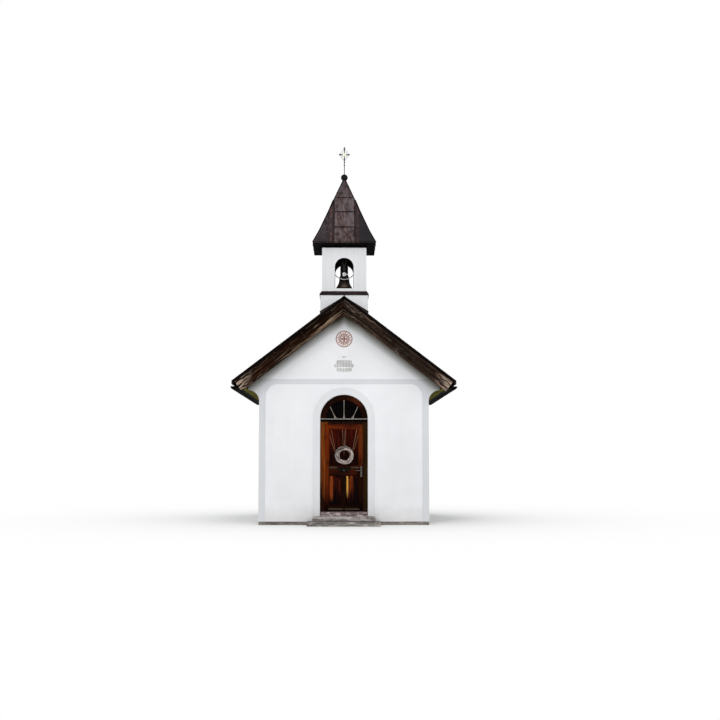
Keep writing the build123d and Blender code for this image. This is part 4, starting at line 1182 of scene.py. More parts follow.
def makeBell():
    low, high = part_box("bell")
    centre = Vector((0, chapel["belfryMiddle"], high.z))
    bm = bmesh.new()
    addLathe(bm, bell["profile"][1:-1], centre, 96)
    finishPiece("bell_body", bm, bellBronze, "bell", ["bell"], 60)

    bm = bmesh.new()
    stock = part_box("bell_headstock")[1]
    half, thick = bell["strapHalf"], bell["strapThick"]
    wide, foot = stock.x + thick, low.z + bell["strapFoot"]
    for y in bell["straps"]:                               # iron, round the yoke
        for x0, x1, z0, z1 in ((-wide, -stock.x, foot, stock.z), (stock.x, wide, foot, stock.z),
                               (-wide, wide, stock.z, stock.z + thick)):
            addBox(bm, (x0, centre.y + y - half, z0), (x1, centre.y + y + half, z1), "z", y, 0.0015)
        for x in (-0.05, 0.05):
            nut = (x, centre.y + y, stock.z + thick)
            addLathe(bm, [(0.011, 0.0), (0.011, 0.009), (0.006, 0.012)], nut, 6)
    finishPiece("yoke_straps", bm, gearSteel, "bell", smooth=40)

    # A pale clamp on the wheel's lower spokes, with the dark end of its bolt
    bm = bmesh.new()
    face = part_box("bell_wheel")[0].y
    level = bell["clampHeight"]
    shares = ((1, 0.0), (1, 0.012), (0.86, 0.018), (0.5, 0.02), (0.3, 0.02))
    profile = [(bell["clampRadius"] * share, out) for share, out in shares]
    addLathe(bm, profile, (0, face + 0.004, level), 32, "y")
    addBox(bm, (0.03, face - 0.012, level - 0.009), (0.082, face + 0.001, level + 0.009), "x", 1, 0.002)
    finishPiece("wheel_clamp", bm, bossSteel, "bell", smooth=40)
    bm = bmesh.new()
    addLathe(bm, [(0.0125, 0.0), (0.0125, 0.008), (0.008, 0.011)], (0, face - 0.015, level), 6, "y")
    finishPiece("wheel_bolt", bm, gearSteel, "bell", smooth=40)


makeBell()
print("bell")


# Fanlight: dark ring and pale flared bars
fan = {
    "springing": 2.345,
    "outer": 0.436,
    "ring": 0.031,
    "foot": 2.325,
    "footHeight": 0.030,
    "drop": 0.40,
    "angles": (-24.9, 0.0, 24.9),
    "barTop": 0.0075,
    "barFoot": 0.030,
    "lip": 0.006,
    "steps": 40,
}


def fanFinish(name, foot):
    # Dark red-brown ring whose foot rail is painted pale
    finish, coords = startFinish(name, 0.85, gloss=0.03, flat=True)
    height = bodyPlace(finish)[2]
    fibre = streaks(coords, (1.4, 30, 1), 5, 0.6)
    wood = tones(fibre, [(0.3, (9, 3, 2)), (0.5, (34, 11, 6)), (0.74, (66, 26, 14))])
    worn = tones(fibre, [(0.3, (122, 116, 108)), (0.7, (188, 182, 174))])
    rail = inRange(height, foot + 0.024, foot + 0.021)
    return dress(finish, mixTones(rail, wood, worn), [(fibre, 0.5, 0.002)])


def makeFanlight():
    low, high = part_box("fanlight_sash")
    front, rear = low.y, high.y
    inner, lip, springing = fan["outer"] - fan["ring"], fan["lip"], fan["springing"]
    bm = bmesh.new()

    def ringArc(radius, bottom):
        start = math.asin((bottom - springing) / radius)
        return [(x, springing + z) for x, z in arc(radius, fan["steps"], start, math.pi - 2 * start)]

    def innerRow(y, shrink):
        row = []
        for x, z in ringArc(inner, fan["foot"] + fan["footHeight"]):
            away = Vector((x, 0, z - springing)).normalized() * shrink
            row.append(bm.verts.new((x + away.x, y, z + (away.z if z > fan["foot"] + 0.04 else -shrink))))
        return row

    outer = [[bm.verts.new((x, y, z)) for x, z in ringArc(fan["outer"], fan["foot"])] for y in (front, rear)]
    inside = [innerRow(*row) for row in ((front, lip), (front + lip, 0.0), (rear - lip, 0.0), (rear, lip))]
    faces = bridge(bm, [outer[0], *inside, outer[1]], caps=False) + bridge(bm, outer, caps=False)
    bm.normal_update()
    layGrain(bm, faces, rightward, 5.0)
    finishPiece("fanlight_ring", bm, fanWood, "building", ["fanlight_sash"], 35)

    bars = bmesh.new()
    section = ((-1, -0.5), (-0.55, -1), (0.55, -1), (1, -0.5), (1, 0.9), (-1, 0.9))
    for angle in fan["angles"]:
        lean = Vector((math.sin(math.radians(angle)), 0, math.cos(math.radians(angle))))
        across = Vector((lean.z, 0, -lean.x))
        centre = Vector((0, (front + rear) / 2, springing - fan["drop"]))
        footReach = (fan["foot"] + 0.02 - centre.z) / lean.z
        # Where the bar meets the ring's inner edge
        drop = centre.z - springing
        topReach = -drop * lean.z + math.sqrt((drop * lean.z) ** 2 - (drop ** 2 - (inner + 0.01) ** 2))
        rows = []
        for share in (0.0, 0.06, 0.14, 0.24, 0.38, 0.6, 0.8, 0.92, 1.0):
            half = fan["barTop"] + (fan["barFoot"] - fan["barTop"]) * max(0.0, 1 - share / 0.3) ** 1.6
            half += 0.006 * max(0.0, (share - 0.85) / 0.15) ** 1.5
            spot = centre + lean * (footReach + (topReach - footReach) * share)
            rows.append([bars.verts.new(spot + across * a * half + ahead * b * 0.017) for a, b in section])
        bridge(bars, rows, caps=False)
        for row in (rows[0], rows[-1]):
            bars.faces.new(row)
    bars.normal_update()
    layGrain(bars, bars.faces[:], up, 2.0)
    finishPiece("fanlight_bars", bars, barWood, "building", smooth=30)


fanWood = fanFinish("fanlight wood", fan["foot"])
barWood = boardFinish("pale bar paint", (96, 90, 80), (146, 139, 128), (184, 178, 168), 0.3, 40)
makeFanlight()
print("fanlight")


# Door leaf
door = {
    "half": 0.432,
    "bottom": 0.293,
    "top": 2.229,
    "front": -2.610,
    "rear": -2.555,
    "stile": 0.092,
    "topRail": 0.110,
    "lockRail": (1.085, 1.285),
    "bottomRail": 0.120,
    "muntin": 0.070,
    "panelFront": -2.5945,
    "panelRear": -2.5705,
    "relief": 0.010,
    "margin": 0.038,
    "rayAngles": (-13.5, 0.0, 13.5),
    "raySpread": 1.6,
    "rayCentre": 0.780,
    "rayStart": 0.420,
    "bossHalf": 0.15,
    "bossDrop": 0.13,
    "rayRim": 0.010,
    "rayTip": 0.10,
    "crestTip": 0.22,
    "crestRise": 0.005,
    "boards": 5,
    "ledges": ((1.240, 0.15), (0.323, 0.020)),     # height, and where each starts beside the middle
    "ledgeNose": 0.016,
    "edge": 0.0022,
}
panelHalf = door["half"] - door["stile"]
muntin = door["muntin"] / 2
lockLow, lockHigh = door["lockRail"]
topLow = door["top"] - door["topRail"]
bottomHigh = door["bottom"] + door["bottomRail"]


def frameFinish(name, head):
    # The frame: orange-brown on the left, near black on the right, dark arch, black groove over the transom
    finish, coords = startFinish(name, 0.8, gloss=0.03)
    across, _, height = split(coords)
    fibre = streaks(coords, (60, 60, 1.6), 5, 0.6)
    wide = streaks(coords, (9, 9, 1.1), 4)
    dark = tones(fibre, [(0.3, (8, 3, 2)), (0.52, (32, 12, 6)), (0.75, (62, 27, 13))])
    warm = tones(fibre, [(0.3, (70, 27, 9)), (0.52, (124, 62, 20)), (0.75, (172, 104, 42))])
    leftSide = inRange(across, -0.34, -0.40)
    belowHead = inRange(height, head - 0.045, head - 0.06)
    worn = inRange(plus(height, times(wide, 0.9)), 1.06, 1.42)
    glow = times(times(leftSide, belowHead), worn)
    glow = times(glow, inRange(wide, 0.38, 0.6, 0.35, 1.0))
    base = mixTones(glow, dark, warm)
    right = times(inRange(across, 0.40, 0.46), belowHead)
    base = mixTones(times(right, inRange(wide, 0.4, 0.6, 0.35, 0.9)), base, (50, 34, 12))
    ledge = times(inRange(height, head + 0.0005, head + 0.0015), inRange(height, head + 0.024, head + 0.021))
    base = mixTones(ledge, base, (146, 142, 136))
    arch = inRange(height, head + 0.26, head + 0.42)
    archWarm = times(arch, inRange(across, 0.08, 0.3, 0, 0.5))
    base = mixTones(archWarm, base, (104, 48, 22))
    groove = times(inRange(height, head - 0.052, head - 0.046), inRange(height, head + 0.004, head - 0.002))
    groove = times(groove, inRange(absolute(across), 0.53, 0.52))
    base = mixTones(groove, base, (3, 2, 2))
    return dress(finish, base, [(fibre, 0.5, 0.002)])


def doorFinish(name, deep, middle, light, glow, lowTop, gloom=0.0):
    # Oiled softwood: orange on the left, painted light; near black where water has run, golden where it is
    # worn
    finish, coords = startFinish(name, 0.7, gloss=0.03, flat=True)
    across, _, height = bodyPlace(finish)
    bent = bendGrain(coords, (0.8, 6, 1), 3, 0.08)
    fibre = streaks(bent, (1.2, 34, 1), 6, 0.6)
    fine = streaks(coords, (6, 300, 1), 3, 0.7)
    mixed = blend(fibre, fine, 0.25)
    base = tones(mixed, [(0.3, deep), (0.5, middle), (0.72, light)])
    drift = times(streaks(bodyCoords(finish), (5, 5, 1.2), 4), 0.5)
    left = times(inRange(plus(across, drift), 0.05, -0.22), glow)
    base = mixTones(left, base, (128, 47, 8))
    level = plus(height, minus(drift, 0.25))
    # On the right: reddish higher up, and near black lower down as painted shade
    right = inRange(across, 0.28, 0.36)
    base = mixTones(times(right, inRange(level, 1.35, 1.6, 0, 0.5)), base, (112, 50, 20))
    base = mixTones(times(right, inRange(level, 1.4, 1.05, 0, 0.8)), base, (16, 5, 2))
    base = mixTones(inRange(level, lowTop, lowTop - 0.5, 0, 0.93), base, (9, 3, 1))
    blot = inRange(streaks(bodyCoords(finish), (7, 7, 3.2), 5, 0.65), 0.53, 0.66)
    base = mixTones(times(blot, 0.7), base, (8, 2, 1))
    sunk = inRange(level, 2.0, 1.5, 0.0, gloom)
    base = mixTones(sunk, base, (9, 2, 1))
    return dress(finish, base, [(fibre, 0.45, 0.0016), (fine, 0.4, 0.0005)],
                 Roughness=inRange(mixed, 0.3, 0.7, 0.8, 0.6))


def lowerPanelFinish(name):
    # The lower panels: dark reddish boards with an orange, a golden and a brown worn streak
    finish, coords = startFinish(name, 0.75, gloss=0.03, flat=True)
    across, _, height = bodyPlace(finish)
    fibre = streaks(coords, (1.4, 30, 1), 6, 0.6)
    wide = streaks(coords, (0.7, 9, 1), 4, 0.6)
    mixed = blend(fibre, wide, 0.45)
    base = tones(mixed, [(0.36, (6, 2, 3)), (0.48, (30, 7, 4)), (0.58, (84, 27, 8)), (0.7, (148, 66, 20))])
    foot = inRange(plus(height, times(wide, 0.5)), 1.12, 0.74)
    base = mixTones(times(foot, 0.93), base, (8, 3, 3))
    # Darker towards the right edge: painted shade
    side = inRange(plus(across, times(wide, 0.05)), 0.215, 0.27, 0, 0.88)
    base = mixTones(side, base, (10, 3, 4))
    wobble = times(minus(wide, 0.5), 0.06)
    for middle, half, tone, share, low, high in ((0.076, 0.038, (218, 160, 76), 0.95, 0.72, 0.92),
                                                 (-0.285, 0.046, (146, 66, 26), 0.85, 0.66, 0.80),
                                                 (0.165, 0.042, (148, 66, 20), 0.68, 0.82, 1.0)):
        off = absolute(minus(plus(across, wobble), middle))
        tall = inRange(plus(height, times(fibre, 0.3)), low, high)
        amount = times(times(inRange(off, half, half * 0.35), tall), share)
        amount = times(amount, inRange(fibre, 0.36, 0.54))
        base = mixTones(amount, base, tone)
    return dress(finish, base, [(fibre, 0.5, 0.002), (wide, 0.3, 0.002)])


def rayFinish(name, deep, middle, light, high, low):
    # Pale edges, painted highlight on the ridges and partly wear, that darken towards the foot of each ray
    finish = boardFinish(name, deep, middle, light, 0.4, 40)
    height = bodyPlace(finish)[2]
    return coatOver(finish, inRange(height, high, low, 0, 0.93), (9, 2, 1))


coverNode("door_frame", frameFinish("door frame wood", fan["foot"]))
stileWood = doorFinish("door stiles", (12, 3, 1), (76, 26, 5), (140, 66, 16), 0.6, 0.93)
railWood = doorFinish("door rails", (14, 3, 1), (80, 28, 8), (138, 58, 18), 0.3, 1.55)
sunPanelWood = doorFinish("sunburst panel", (8, 0, 0), (52, 8, 2), (102, 27, 7), 0.1, 0.5, 0.85)
rayEdgeWearAndHighlight = rayFinish("ray edges, wear and painted highlight", (76, 44, 28), (132, 92, 68), (192, 158, 132), 1.68, 1.54)
lowerWood = lowerPanelFinish("lower panels")
ledgeWood = boardFinish("worn ledges", (20, 14, 11), (58, 47, 39), (118, 103, 90), 0.3, 40)
bossWood = boardFinish("dark boss", (5, 3, 2), (16, 8, 6), (38, 22, 15), 0.1, 30)


def mitres(corners, least):
    # Each corner, and the way that takes both its edges inward by one
    out = []
    for i, corner in enumerate(corners):
        here = Vector(corner)
        first = (here - Vector(corners[i - 1])).normalized()
        second = (Vector(corners[(i + 1) % len(corners)]) - here).normalized()
        mitre = Vector((-(first.y + second.y), first.x + second.x))
        out.append((here, mitre / max(least, mitre.dot(Vector((-first.y, first.x))))))
    return out


def addMoulding(bm, corners, face, outward, profile, seed):
    # A mitred moulding round a panel: the profile is (inward, proud) pairs, corners are (x, z) in order
    rings = []
    for here, mitre in mitres(corners, 0.2):
        spots = [(here + mitre * inward, face + outward * proud) for inward, proud in profile]
        rings.append([bm.verts.new((spot.x, y, spot.y)) for spot, y in spots])
    for i, ring in enumerate(rings):
        after = (i + 1) % len(rings)
        faces = bridge(bm, [ring, rings[after]], caps=False, around=False)
        bm.normal_update()
        run = Vector(corners[after]) - Vector(corners[i])
        layGrain(bm, faces, Vector((run.x, 0, run.y)), seed + i)


def archCorners(middle, half, bottom, springing):
    head = [(middle + x, springing + z) for x, z in arc(half, 18)]
    return [(middle - half, bottom), (middle + half, bottom)] + head


def addPrism(bm, corners, back, front, bevel, seed=0.0, grain=up):
    # A flat raised form with bevelled edges standing on a face
    outer = [bm.verts.new((x, back, z)) for x, z in corners]
    spots = [here + mitre * bevel for here, mitre in mitres(corners, 0.35)]
    inner = [bm.verts.new((spot.x, front, spot.y)) for spot in spots]
    faces = [bm.faces.new(inner)] + bridge(bm, [outer, inner], caps=False)
    bm.normal_update()
    layGrain(bm, faces, grain, seed)


def makeLeaf():
    front, rear, edge = door["front"], door["rear"], door["edge"]
    bm = bmesh.new()
    for side in (-1, 1):
        x0, x1 = sorted((side * panelHalf, side * door["half"]))
        addBox(bm, (x0, front, door["bottom"]), (x1, rear, door["top"]), "z", side + 2.0, edge)
    finishPiece("door_stiles", bm, stileWood, "door", ["door_leaf"], 40)
    bm = bmesh.new()
    fit, y0, y1 = 0.0006, front + 0.0005, rear - 0.0005
    levels = ((topLow, door["top"]), (lockLow, lockHigh), (door["bottom"], bottomHigh))
    for k, (low, high) in enumerate(levels):
        addBox(bm, (-panelHalf - fit, y0, low), (panelHalf + fit, y1, high), "x", k + 4.5, edge)
    addBox(bm, (-muntin, y0, bottomHigh - fit), (muntin, y1, lockLow + fit), "z", 9.1, edge)
    # Mouldings round the three panels, on both faces
    step = door["panelFront"] - front
    profile = [(0.0, -0.001), (0.001, -0.003), (0.006, -0.0022), (0.010, 0.003 - step * 0.6),
               (0.014, -step + 0.002), (0.016, -step)]
    for x0, x1, z0, z1 in ((-panelHalf, panelHalf, lockHigh, topLow),
                           (-panelHalf, -muntin, bottomHigh, lockLow),
                           (muntin, panelHalf, bottomHigh, lockLow)):
        corners = [(x0, z0), (x1, z0), (x1, z1), (x0, z1)]
        addMoulding(bm, corners, front, -1, profile, 3.0)
        addMoulding(bm, corners, rear, 1, profile, 6.0)
    finishPiece("door_rails", bm, railWood, "door", smooth=40)


def makeSunPanel():
    bm = bmesh.new()
    width = 2 * panelHalf / door["boards"]
    for i in range(door["boards"]):                        # tongued boards with a fine groove between
        x = -panelHalf + width * i
        low, high = (x, door["panelFront"], lockHigh), (x + width, door["panelRear"], topLow)
        addBox(bm, low, high, "z", i * 1.7, 0.0016)
    finishPiece("door_sun_panel", bm, sunPanelWood, "door", ["door_upper_panel"], 40)

    faces, edges = bmesh.new(), bmesh.new()
    sunk = door["panelFront"] - 0.001
    proud = door["panelFront"] - door["relief"]
    centre = Vector((0, door["rayCentre"]))
    rim = Vector((door["rayRim"], 0))

    def addFace(bm, corners, depths):
        return bm.faces.new([bm.verts.new((c.x, y, c.y)) for c, y in zip(corners, depths)])

    for number, middle in enumerate(door["rayAngles"]):
        tops = []
        for turn in (-door["raySpread"], 0.0, door["raySpread"]):
            angle = math.radians(middle + turn)
            lean = Vector((math.sin(angle), math.cos(angle)))
            high = (topLow - 0.016 - centre.y) / lean.y
            if abs(lean.x) > 0.01:
                high = min(high, (panelHalf - 0.018) / abs(lean.x))
            tops.append(centre + lean * high)
        leftFoot, crest, rightFoot = tops
        angle = math.radians(middle)
        tip = centre + Vector((math.sin(angle), math.cos(angle))) * (door["rayStart"] + door["rayTip"])
        grain = Vector((crest.x - tip.x, 0, crest.y - tip.y))
        leftTop, rightTop = leftFoot + rim, rightFoot - rim
        crestTip = tip + (crest - tip) * door["crestTip"]
        ridge = proud + door["crestRise"]
        made = [addFace(edges, (tip, leftFoot, leftTop, crestTip), (sunk, sunk, proud, proud)),
                addFace(edges, (tip, crestTip, rightTop, rightFoot), (sunk, proud, proud, sunk))]
        edges.normal_update()
        layGrain(edges, made, grain, 2.0 + number)
        made = [addFace(faces, (crestTip, leftTop, crest), (proud, proud, ridge)),
                addFace(faces, (crestTip, crest, rightTop), (proud, ridge, proud)),
                addFace(faces, (leftFoot, rightFoot, rightTop, crest, leftTop),
                        (sunk, sunk, proud, ridge, proud))]
        faces.normal_update()
        layGrain(faces, made, grain, 2.0 + number)
    finishPiece("door_ray_edges", edges, rayEdgeWearAndHighlight, "door")
    finishPiece("door_rays", faces, sunPanelWood, "door", smooth=20)


def makeLowerPanels():
    bm = bmesh.new()
    front, rear, margin, proud = door["panelFront"], door["panelRear"], door["margin"], door["relief"]
    for inner, outer in ((-panelHalf, -muntin), (muntin, panelHalf)):
        addBox(bm, (inner, front, bottomHigh), (outer, rear, lockLow), "z", inner * 5, 0.001)
        half = (outer - inner) / 2 - margin
        corners = archCorners((inner + outer) / 2, half, bottomHigh + margin, lockLow - margin - half)
        addPrism(bm, corners, front, front - proud, 0.014, inner)
        addPrism(bm, corners, rear, rear + proud, 0.014, inner + 3)
    finishPiece("door_lower_fields", bm, lowerWood, "door", ["door_lower_panels"], 30)


def makeLedges():
    front, rear, nose = door["front"], door["rear"], door["ledgeNose"]
    bm = bmesh.new()
    # Distance out from the leaf, and height over the ledge's foot
    outline = [(0, 0.0), (0.020, 0.0), (0.022, 0.003), (0.022, nose - 0.002), (0.0195, nose + 0.001),
               (0.010, nose + 0.006), (0.004, nose + 0.011), (0, 0.034)]
    for bottom, inner in door["ledges"]:
        for side in (-1, 1):
            start, end = (Vector((side * x, front, bottom)) for x in (inner, panelHalf))
            addSweep(bm, [(b, -a) for a, b in outline], start, end, up, ahead)
    bm.normal_update()
    layGrain(bm, bm.faces[:], rightward, 8.0)
    finishPiece("door_drip_ledges", bm, ledgeWood, "door", ["door_ledges"], 30)

    bm = bmesh.new()
    corners = [(x * door["bossHalf"], 1.274 + z * door["bossDrop"]) for x, z in arc(1.0, 24, math.pi)]
    addPrism(bm, corners, front, front - 0.012, 0.006, 4.0, rightward)
    finishPiece("door_boss", bm, bossWood, "door", smooth=30)

    # Screws and keyhole rim of the handle plates
    bm = bmesh.new()
    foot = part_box("door_handle")[0].z
    keyX = door["half"] - door["stile"] / 2
    for face, away in ((front - 0.004, -1), (rear + 0.004, 1)):
        for z in (foot + 0.012, foot + 0.2):
            addStud(bm, Vector((keyX, face, z)), ahead * away, 0.0045, 0.0018)
        centre = Vector((keyX, face + away * 0.0006, foot + 0.06))
        addTube(bm, [centre + Vector((x, 0, z)) for x, z in circle(0.006, 16)], 0.0014, 6, closed=True)
    finishPiece("door_screws", bm, hingeSteel, "door", smooth=60)


makeLeaf()
makeSunPanel()
makeLowerPanels()
makeLedges()
print("door")


# Wreath of pale twigs
wreath = {
    "centre": (0.010, -2.657, 1.531),
    "radius": 0.161,
    "tube": 0.050,
    "twigs": 210,
    "cores": 60,
    "twigRadius": (0.0016, 0.0032),
    "seed": 7,
}


def makeWreath():
    dice = random.Random(wreath["seed"])
    centre = Vector(wreath["centre"])
    bm = bmesh.new()
    for number in range(wreath["twigs"]):
        core = number < wreath["cores"]
        start = dice.uniform(0, 2 * math.pi)
        span = dice.uniform(0.7, 2.3)
        turn = dice.uniform(0, 2 * math.pi)
        twist = dice.choice((-1, 1)) * dice.uniform(0.7, 2.1)
        depth = dice.uniform(0.012, 0.028) if core else dice.uniform(0.034, 0.0475)
        thick = dice.uniform(*wreath["twigRadius"])
        count = max(8, int(span * 13))
        points = []
        for k in range(count + 1):
            share = k / count
            around = start + span * share
            inner = turn + twist * span * share
            bulge = 0.0025 * noise.noise(Vector((around * 6, number * 3.1, 0)))
            stray = 0.004 * (max(0, share - 0.85) / 0.15 + max(0, 0.15 - share) / 0.15)
            reach = min(wreath["tube"] - thick, depth + bulge + stray)
            flat = wreath["radius"] + reach * math.cos(inner)
            spot = Vector((math.cos(around) * flat, math.sin(inner) * reach, math.sin(around) * flat))
            points.append(centre + spot)
        ends = [min(k, count - k) / count for k in range(count + 1)]
        radii = [thick * (0.45 + 0.55 * min(1, 6 * end + 0.2)) for end in ends]
        addTube(bm, points, radii, 5, seed=dice.random())
    finishPiece("wreath_twigs", bm, wreathTwigs, "door", ["door_wreath"], 60)
    bm = bmesh.new()
    nail = centre + Vector((0.0, 0.001, wreath["radius"] + 0.004))
    addTube(bm, [nail + ahead * 0.058, nail - ahead * 0.062], 0.0035, 10)
    addStud(bm, nail - ahead * 0.061, -ahead, 0.009, 0.004)
    finishPiece("wreath_nail", bm, hingeSteel, "door", smooth=50)


makeWreath()
print("wreath")


# Steps and threshold, worn and uneven
stones = {
    "lower_step": {"round": 0.022, "wear": 0.010, "cell": 0.028, "seed": 3.0, "finish": lowStone},
    "upper_step": {"round": 0.018, "wear": 0.008, "cell": 0.026, "seed": 5.0, "finish": stepStone},
    "door_sill": {"round": 0.010, "wear": 0.005, "cell": 0.022, "seed": 9.0, "finish": sillStone},
}


def addRoughBlock(bm, low, high, radius, wear, cell, seed):
    # A block whose edges are worn round and whose faces dip; it never grows past its corners
    low, high = Vector(low), Vector(high)
    size = high - low
    counts = [max(2, round(s / cell)) for s in size]
    kept = {}

    def corner(i, j, k):
        key = (i, j, k)
        if key not in kept:
            spot = Vector([low[n] + size[n] * key[n] / counts[n] for n in range(3)])
            core = Vector([min(max(spot[n], low[n] + radius), high[n] - radius) for n in range(3)])
            away = (spot - core).normalized()
            coarse = noise.noise(spot * 5 + Vector((seed, 0, 0)))
            fine = noise.noise(spot * 23 + Vector((0, seed, 0)))
            chip = max(0.0, noise.noise(spot * 9 + Vector((seed * 2, 3, 1))) - 0.25)
            cut = max(0.0, wear * (0.35 + 0.4 * coarse + 0.15 * fine + 1.6 * chip))
            kept[key] = bm.verts.new(core + away * (radius - cut))
        return kept[key]

    for axis in range(3):
        first, second = [n for n in range(3) if n != axis]
        for end in (0, counts[axis]):
            for a in range(counts[first]):
                for b in range(counts[second]):
                    quad = []
                    for da, db in ((0, 0), (1, 0), (1, 1), (0, 1)):
                        index = [0, 0, 0]
                        index[axis] = end
                        index[first] = a + da
                        index[second] = b + db
                        quad.append(corner(*index))
                    bm.faces.new(quad)


def makeStones():
    for name, spec in stones.items():
        bm = bmesh.new()
        low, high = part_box(name)
        addRoughBlock(bm, low, high, spec["round"], spec["wear"], spec["cell"], spec["seed"])
        finishPiece("%s_worn" % name, bm, spec["finish"], "building", [name], 60)


makeStones()
print("steps")


# Side windows: glazing bars on both faces
window = {"middle": 0.085, "bottom": 1.50, "springing": 2.15, "half": 0.26, "bar": 0.022, "proud": 0.009,
          "crossBars": (1.78, 2.07)}


def makeWindowBars():
    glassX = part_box("window_frames")[1].x - 0.03
    inner = window["half"] - 0.052
    middle, half = window["middle"], window["bar"] / 2
    bm = bmesh.new()
    for side in (-1, 1):
        for shift in (0.0035, -0.0035 - window["proud"]):
            x0, x1 = sorted((side * (glassX + shift), side * (glassX + shift + window["proud"])))
            foot, head = window["bottom"] + 0.05, window["springing"] + inner
            addBox(bm, (x0, middle - half, foot), (x1, middle + half, head), "z", side * 3.0, 0.002)
            for z in window["crossBars"]:
                addBox(bm, (x0 + 0.0004, middle - inner, z - half), (x1 - 0.0004, middle + inner, z + half),
                       "y", side * 5.0, 0.002)
    finishPiece("window_bars", bm, windowWood, "building", smooth=40)


makeWindowBars()
print("windows")


# Gable: round medallion with a plain sunburst, bare scroll and a small lozenge
gable = {
    "medallionZ": 4.119,
    "medallionR": 0.19,
    "proud": 0.006,
    "scroll": ((3.600, 0.160), (3.518, 0.205), (3.434, 0.160)),    # height and half width of each fold
    "scrollHeight": 0.078,
    "lozengeZ": 3.715,
    "lozenge": (0.07, 0.022),
}


def pleatFinish(name, deep, light, pitch):
    # Faded paint in soft upright pleats
    finish, coords = startFinish(name, 0.9, gloss=0.15)
    across = split(coords)[0]
    drift = streaks(coords, (3, 3, 5), 4)
    wave = calc("SINE", plus(times(across, 2 * math.pi / pitch), drift))
    worn = inRange(cloud(coords, 5, 3, 0.5), 0.38, 0.62, -0.1, 0.1)
    base = tones(plus(inRange(wave, -1, 1, 0.1, 0.75), worn), [(0.1, deep), (0.8, light)])
    return dress(finish, base, [(wave, 0.2, 0.002)])


medallionBase = plasterFinish("medallion ground", (226, 214, 210), 0.2, 0.001)
redTones = ((96, 46, 42), (128, 68, 62), (158, 100, 92), (178, 128, 120))
medallionRed = stoneFinish("medallion red", *redTones, 4.0)
scrollPaint = pleatFinish("worn scroll", (158, 156, 154), (222, 222, 222), 0.034)


def makeMedallion():
    face, centre, radius = chapel["front"], gable["medallionZ"], gable["medallionR"]
    top = face - gable["proud"]
    bm = bmesh.new()
    addPrism(bm, [(x, centre + z) for x, z in circle(radius, 64)], face, top, 0.004)
    finishPiece("medallion_ground", bm, medallionBase, "building", smooth=30)
    bm = bmesh.new()
    for share, steps, thick in ((0.93, 64, 0.0075), (0.4, 32, 0.006)):
        ring = [Vector((x, top, centre + z)) for x, z in circle(radius * share, steps)]
        addTube(bm, ring, thick, 6, closed=True)
    for k in range(16):                                    # straight and wavy rays in turn
        angle = 2 * math.pi * (k + 0.5) / 16
        outward = Vector((math.cos(angle), math.sin(angle)))
        side = Vector((-outward.y, outward.x))
        start, end = radius * 0.47, radius * (0.84 if k % 2 else 0.74)
        edges = [[], []]
        for share, half in ((0.0, 0.013), (0.35, 0.012), (0.7, 0.008), (1.0, 0.002)):
            wave = 0.0 if k % 2 else 0.006 * math.sin(share * math.pi * 2)
            spot = Vector((0, centre)) + outward * (start + (end - start) * share) + side * wave
            edges[0].append(tuple(spot + side * half))
            edges[1].append(tuple(spot - side * half))
        addPrism(bm, edges[1] + edges[0][::-1], top, top - 0.003, 0.0006)
    arm, tip, waist = radius * 0.32, radius * 0.12, radius * 0.045
    for quarter in range(4):                               # small cross with widening arms
        sine, cosine = math.sin(math.pi / 2 * quarter), math.cos(math.pi / 2 * quarter)
        points = [(-waist, 0.0), (waist, 0.0), (tip, arm), (-tip, arm)]
        outline = [(x * cosine - z * sine, centre + x * sine + z * cosine) for x, z in points]
        addPrism(bm, outline, top, top - 0.003, 0.0008)
    finishPiece("medallion_sun", bm, medallionRed, "building", smooth=30)


def makeScroll():
    face, level, tall = chapel["front"], gable["lozengeZ"], gable["scrollHeight"] / 2
    shares = [k / 24 for k in range(25)]
    bm = bmesh.new()
    for order, (middle, half) in enumerate(gable["scroll"]):   # three bare folds, one behind the other
        outline = []
        for row, edge in ((shares, -tall), ([1 - share for share in shares], tall)):
            for share in row:
                sag = 0.010 * math.sin(math.pi * share) * (-1 if order == 2 else 1)
                outline.append((-half + 2 * half * share, middle + sag + edge))
        addPrism(bm, outline, face, face - (0.006 if order == 1 else 0.003), 0.003)
        for side in (-1, 1):                                   # curled ends
            curl = arc(1.0, 12, -math.pi / 2)[::side]
            corners = [(side * (half - 0.004 + 0.020 * x), middle + tall * 0.72 * z) for x, z in curl]
            addPrism(bm, corners, face, face - (0.008 if order == 1 else 0.005), 0.003)
    width, height = gable["lozenge"]
    lozenge = [(-width, level), (0, level - height), (width, level), (0, level + height)]
    addPrism(bm, lozenge, face, face - 0.004, 0.003)
    for side in (-1, 1):
        addStud(bm, Vector((side * 0.105, face, level)), -ahead, 0.011, 0.004)
    finishPiece("gable_scroll", bm, scrollPaint, "building", smooth=30)


makeMedallion()
makeScroll()
print("gable")


# Stage: floor that fades to the backdrop's white, soft studio light, camera
stage = {
    "floorRadius": 60.0,
    "fadeFrom": 2.6,
    "fadeReach": 1.8,
    "floorTone": (244, 244, 244),
    "worldLight": 0.635,
    "lamps": {                     # place, height aimed at, power, size
        "key": ((-4.5, -18.0, 8.5), 3.5, 1045.0, 14.0),
        "fill": ((12.0, -15.0, 5.0), 3.0, 420.0, 9.0),
        "back": ((-6.0, 17.0, 9.0), 3.0, 520.0, 11.0),
    },
    "cameraPlace": (0.010, -26.665, 1.416),
    "cameraTilt": 95.336,
    "cameraTurn": -0.828,
    "lens": 53.75,
}


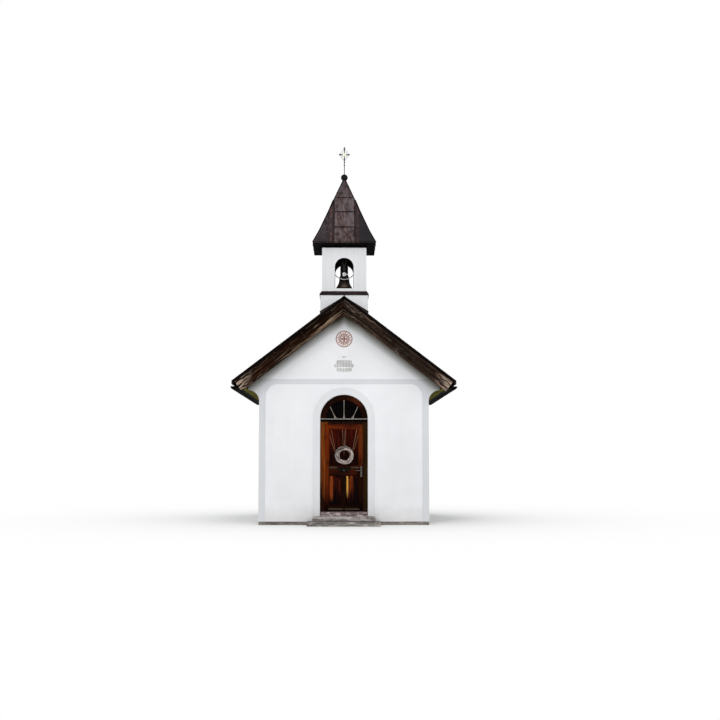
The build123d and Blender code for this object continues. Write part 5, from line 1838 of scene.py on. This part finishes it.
def makeFloor():
    bm = bmesh.new()
    radii = (stage["floorRadius"], 20, 13, 9, 5, 2)
    rings = [[bm.verts.new((x, y, 0)) for x, y in circle(radius, 64)] for radius in radii]
    bridge(bm, rings, caps=False)
    bm.faces.new(rings[-1])
    mesh = bpy.data.meshes.new("studio_floor")
    bm.to_mesh(mesh)
    bm.free()
    floor = bpy.data.objects.new("studio_floor", mesh)
    bpy.context.scene.collection.objects.link(floor)
    floor.location.z = -0.001
    finish, coords = startFinish("studio floor", 0.95, gloss=0.1)
    away = addNode("VectorMath", {0: coords}, operation="LENGTH").outputs["Value"]
    mottle = cloud(coords, 0.8, 3)
    lowTone = tuple(v - 3 for v in stage["floorTone"])
    base = tones(mottle, [(0.3, lowTone), (0.7, stage["floorTone"])])
    tree = finish.node_tree
    shader = tree.nodes["Principled BSDF"]
    tree.links.new(base, shader.inputs["Base Color"])
    glow = addNode("Emission", {"Color": (1, 1, 1, 1), "Strength": 1.0}, tree)
    ray = addNode("LightPath", tree=tree).outputs["Is Camera Ray"]
    gone = calc("DIVIDE", larger(minus(away, stage["fadeFrom"]), 0.0), stage["fadeReach"])
    fade = times(minus(1.0, calc("POWER", 2.718, times(gone, -1.0))), ray)
    surface = addNode("MixShader", {0: fade, 1: shader.outputs[0], 2: glow.outputs[0]})
    tree.links.new(surface.outputs[0], tree.nodes["Material Output"].inputs["Surface"])
    mesh.materials.append(finish)


def makeWorld():
    world = bpy.data.worlds.new("studio")
    bpy.context.scene.world = world
    world.use_nodes = True
    tree = world.node_tree
    light = tree.nodes["Background"]
    light.inputs["Color"].default_value = (0.985, 0.99, 1.0, 1.0)
    light.inputs["Strength"].default_value = stage["worldLight"]
    white = addNode("Background", {"Color": (1, 1, 1, 1), "Strength": 1.0}, tree)
    path = addNode("LightPath", tree=tree)
    seen = larger(path.outputs["Is Camera Ray"], path.outputs["Is Transmission Ray"])
    surface = addNode("MixShader", {0: seen, 1: light.outputs[0], 2: white.outputs[0]})
    tree.links.new(surface.outputs[0], tree.nodes["World Output"].inputs["Surface"])


def addLamp(name, place, aim, power, size):
    lamp = bpy.data.lights.new(name, "AREA")
    lamp.energy = power
    lamp.shape = "DISK"
    lamp.size = size
    thing = bpy.data.objects.new(name, lamp)
    bpy.context.scene.collection.objects.link(thing)
    thing.location = place
    thing.rotation_euler = (Vector(aim) - Vector(place)).to_track_quat("-Z", "Y").to_euler()


def makeStage():
    scene = bpy.context.scene
    scene.view_settings.view_transform = "Standard"
    makeFloor()
    makeWorld()
    for name, (place, aimHeight, power, size) in stage["lamps"].items():
        addLamp(name, place, (0, 0, aimHeight), power, size)
    lens = bpy.data.cameras.new("camera")
    lens.lens = stage["lens"]
    lens.sensor_width = 36.0
    lens.clip_end = 200.0
    camera = bpy.data.objects.new("camera", lens)
    camera.location = stage["cameraPlace"]
    camera.rotation_euler = (math.radians(stage["cameraTilt"]), 0, math.radians(stage["cameraTurn"]))
    scene.collection.objects.link(camera)
    scene.camera = camera


makeStage()
print("stage")
